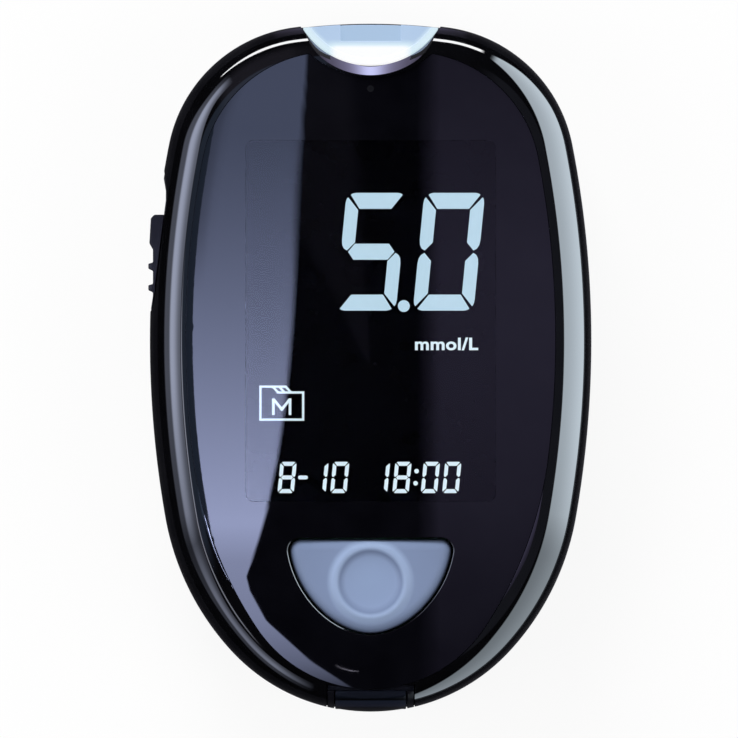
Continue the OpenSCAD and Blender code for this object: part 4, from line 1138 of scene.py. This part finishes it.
def reflector(name, points, faces, colours):
    """Light card from points in millimetres: only gloss and clear plastic see it."""
    piece = solid(name, points, faces, [tent_light])
    paint = piece.data.attributes.new("light", "FLOAT_COLOR", "POINT")
    paint.data.foreach_set("color", [c for rgb in colours for c in (*rgb, 1)])
    piece.visible_camera = piece.visible_diffuse = False
    piece.visible_volume_scatter = piece.visible_shadow = False


def light_colour(gloss, *rgb):
    """Light that a surface of this reflectance shows as the 8-bit colour."""
    return np.array(linear(*rgb)) / gloss


tent_light = painted_light()
TENT_R, TENT_Z = 600, 24
RIM_GLOSS = 0.158
PANEL_GLOSS = 0.04


def ease(low, high, value):
    t = np.clip((value - low) / (high - low), 0, 1)
    return t * t * (3 - 2 * t)


def band(value, low, high, soft):
    return ease(low - soft, low + soft, value) * (1 - ease(high - soft, high + soft, value))


def tent_colour(azimuth, height):
    """Light of the tent towards the meter, by compass angle and angle above the floor."""
    total = np.zeros((len(azimuth), 3))

    def add(share, *rgb):
        nonlocal total
        total = total + np.asarray(share)[:, None] * light_colour(RIM_GLOSS, *rgb)
    fall = 90 - height
    around = azimuth % 360
    off = np.abs(around - 180)
    # dim glow on the right of the rim
    add(band(azimuth, -60, 60, 8) * band(fall, 7, 34, 2), 15, 16, 20)
    # soft tube on the left, narrow towards its ends
    place = (fall - 49 - np.where(around < 180, 0.001, 0.0045) * off ** 2) / (1 - 0.45 * ease(16, 42, off))
    rise = 0.34 + 0.66 * ease(-20, -1, place)
    drop = (0.2 + 0.8 * (1 - ease(2.5, 9, place))) * (1 - ease(19, 23, place))
    tube = ease(-23, -21, place) * np.where(place < 0.5, rise, drop)
    add(tube * np.interp(around, (129, 137, 148, 182, 190, 200, 213, 238, 252),
                         (0, 0.7, 1, 1, 0.67, 0.2, 0.42, 0.5, 0)), 146, 152, 172)
    # fine line inside it, and dim glow on the left
    line = 24 + 0.0077 * off ** 2
    add(band(fall, line - 1, line + 1, 0.6) * band(around, 176, 226, 6), 132, 134, 146)
    add(band(around, 94, 206, 6) * band(fall, 6, 26, 1.5), 27, 33, 43)
    add(band(around, 98, 137, 5) * ease(68, 44, fall), 22, 21, 26)
    # dim ground, paler straight down
    ground = 1 - ease(-40, -12, height)
    add(ground * (0.4 + 0.6 * np.cos(np.radians(azimuth / 2)) ** 2), 38, 38, 41)
    add(1 - ease(-88, -70, height), 160, 160, 162)
    return total


def tent():
    """Ball of softboxes round the meter."""
    heights, azimuths = np.arange(-90, 91), np.arange(-180, 180)
    high, wide = (grid.ravel().astype(float) for grid in np.meshgrid(heights, azimuths, indexing="ij"))
    up, turn = np.radians(high), np.radians(wide)
    points = np.stack((np.cos(up) * np.cos(turn), np.cos(up) * np.sin(turn), np.sin(up)), 1)
    points = points * TENT_R + (0, 0, TENT_Z)
    reflector("tent", points.tolist(), skin(len(heights), len(azimuths)), tent_colour(wide, high))


CARD_X, CARD_Y, CARD_Z = 2.2, 1.167, 525


def overhead(x, y):
    """Place on the overhead cards that a point of the panel reflects to the camera."""
    return x * CARD_X, y * CARD_Y, CARD_Z


def card_edge(y):
    """Right edge of the left card's reflection on the panel, in millimetres."""
    if y < -28.9:
        return float(np.interp(y, (-44.8, -40.9, -35.3, -31.1, -28.9), (-2.2, -8.3, -14.6, -16.9, -17.4)))
    t = max(0, (42 - y) / 71)
    return -8.75 - 3.2 * t - 5.4 * t ** 4.5 - 0.7 * exp(-((y - 23) / 10) ** 2)


def card_rim(y):
    """Left edge of that reflection, which keeps furthest from the outline halfway up."""
    x = -HALF_W
    while x < 0:
        inset, across, along = rim_place(x, y)
        turn = degrees(atan2(along, across)) % 360 - 184
        if inset >= 5.85 - 1.6 * (turn / 45) ** 2:
            break
        x += 0.04
    return x


def left_card():
    """Bright card over the left of the panel, dim past its left edge."""
    rows = 180
    shares = (0, 0.06, 0.3, 0.6, 0.8, 0.88, 0.94, 1)
    n = len(shares) + 2
    points, colours = [], []
    dim = light_colour(PANEL_GLOSS, 24, 30, 40)
    for i in range(rows + 1):
        y = 46 - 90.7 * i / rows
        inner = card_edge(y)
        outer = min(card_rim(y), inner)
        m = float(np.clip((33 - y) / 54, 0, 1)) ** 1.15
        level = light_colour(PANEL_GLOSS, 64 + 82 * m, 70 + 84 * m, 90 + 99 * m)
        level = level * np.interp(-y, (22, 27, 35, 41, 45), (1, 0.72, 0.62, 0.36, 0.08))
        soft = 0.38 * ease(8, 22, y)
        fuzz = 0.08 + 0.6 * exp(-((y - 23) / 10) ** 2)
        for share in shares:
            x = inner + (outer - inner) * share + (fuzz if share == 0 else 0)
            points.append(overhead(x, y))
            colours.append(level * (1 - soft * (1 - ease(0, 2.2, x - outer))) * (share > 0))
        points += [overhead(outer, y), overhead(-45, y)]
        colours += [dim * ease(-40, -20, y)] * 2
    # no face joins the bright part's edge to the dim part's
    faces = [face for i, face in enumerate(skin(rows + 1, n, closed=False)) if i % (n - 1) != len(shares) - 1]
    reflector("left_card", points, faces, colours)


def sheet(name, rows):
    """Card from rows of (point in millimetres, colour)."""
    pairs = [pair for row in rows for pair in row]
    faces = skin(len(rows), len(rows[0]), closed=False)
    reflector(name, [point for point, _ in pairs], faces, [colour for _, colour in pairs])


def right_card():
    """Faint card over the right of the panel."""
    rows = []
    columns = ((6.6, 0), (8.2, 0.4), (9.8, 1), (42, 1))
    for y in np.arange(50, -51, -2.5):
        level = light_colour(PANEL_GLOSS, 33, 31, 43)
        level = level * np.interp(y, (-40, -30, -18, 0, 15, 43), (0.26, 0.45, 0.73, 0.95, 1, 0.56))
        rows.append([(overhead(x, y), level * share) for x, share in columns])
    sheet("right_card", rows)


def near_place(azimuth, fall, away):
    """Place this far out from the flank that the rim reflects there, by its angle from straight up."""
    cx, cy, r = [arc[:3] for arc in OUTLINE if arc[3] <= azimuth <= arc[4]][0]
    across, along = turned(r + away, azimuth)
    lean = radians(fall / 2)
    rise = (away + RIM_ROUND - CREST_R * sin(lean)) / tan(2 * lean)
    return cx + across, cy + along, CREST_Z - CREST_R * (1 - cos(lean)) + rise


def near_window():
    """Tall card close to the right flank, for the broad gleam on that side of the rim."""
    away, falls, rows = 8, np.arange(31, 99, 1.0), []
    for azimuth in range(-81, 64):
        inner = 33 + 0.0077 * azimuth ** 2
        outer = 97 - 0.006 * max(0, azimuth) ** 2
        shares = band(azimuth, -78, 60, 2) * band(falls, inner, outer, 0.8)
        shares = shares * (0.42 + 0.58 * ease(-21, -3, azimuth)) * (0.84 + 0.32 * ease(inner, 92, falls))
        rows.append([(near_place(azimuth, fall, away), share * light_colour(RIM_GLOSS, 170, 181, 190))
                     for fall, share in zip(falls, shares)])
    sheet("near_window", rows)


def near_strip():
    """Bright strip close behind the port, for the gleam on the top of the rim."""
    away, middle, first, last, rows = 25, 71.4, 65, 134, []
    for azimuth in range(first, last + 1):
        half = 3.7 - 2.6 * ease(112, 134, azimuth)
        level = light_colour(RIM_GLOSS, 250, 250, 252) * min(1, (azimuth - first) / 2, (last - azimuth) / 2)
        rows.append([(near_place(azimuth, fall, away), level) for fall in (middle - half, middle + half)])
    sheet("near_strip", rows)


def port_card():
    """Low card behind the port, for the gleam on the notch's bevel."""
    far, rows = 80, []
    base, wide, narrow = (light_colour(RIM_GLOSS, *rgb)
                          for rgb in ((40, 36, 46), (112, 109, 138), (152, 158, 192)))
    for side in range(-40, 41, 2):
        gleam = base + wide * exp(-(side / 26) ** 2) + narrow * exp(-(side / 9) ** 2)
        x = (far - PORT_Y) * tan(radians(side))
        rows.append([((x, far, z), gleam) for z in (-18, CREST_Z - 5)])
    sheet("port_card", rows)


def streak_card():
    """Small curved streak near the foot of the panel, by pixels of the frame."""
    path = ((335, 664, 0.1), (343, 667.5, 0.3), (351, 669.6, 0.35), (359, 670.2, 0.15))
    level = light_colour(PANEL_GLOSS, 128, 126, 140)
    sheet("streak_card", [[(overhead(*millimetres(px, py + side)), level) for side in (-half, half)]
                          for px, py, half in path])


floor()
world()
lamp("soft_top", (-0.25, 1.1, 0.75), 0.7, 13)
lamp("soft_right", (0.9, -0.3, 1.1), 0.8, 4)
lamp("soft_left", (-0.9, -0.2, 1.1), 0.8, 4)
lamp("soft_below", (0.1, -0.1, -1.2), 1.2, 8)
tent()
left_card()
right_card()
near_window()
near_strip()
port_card()
streak_card()

# In metres: the plane where the frame's scale holds, and how far above it the camera is
CAMERA_PLANE, CAMERA_FAR = 16 * MM, 3
SENSOR = 36
camera_data = bpy.data.cameras.new("camera")
camera = add_object("camera", camera_data)
camera_data.sensor_width = SENSOR
camera_data.lens = SENSOR * CAMERA_FAR / (FRAME_SIZE * PIXEL * MM)
camera_data.clip_start, camera_data.clip_end = 0.05, 20
camera.location = [c * MM for c in millimetres(FRAME_SIZE / 2, FRAME_SIZE / 2)] + [CAMERA_PLANE + CAMERA_FAR]
bpy.context.scene.camera = camera
bpy.context.scene.view_settings.view_transform = "Standard"
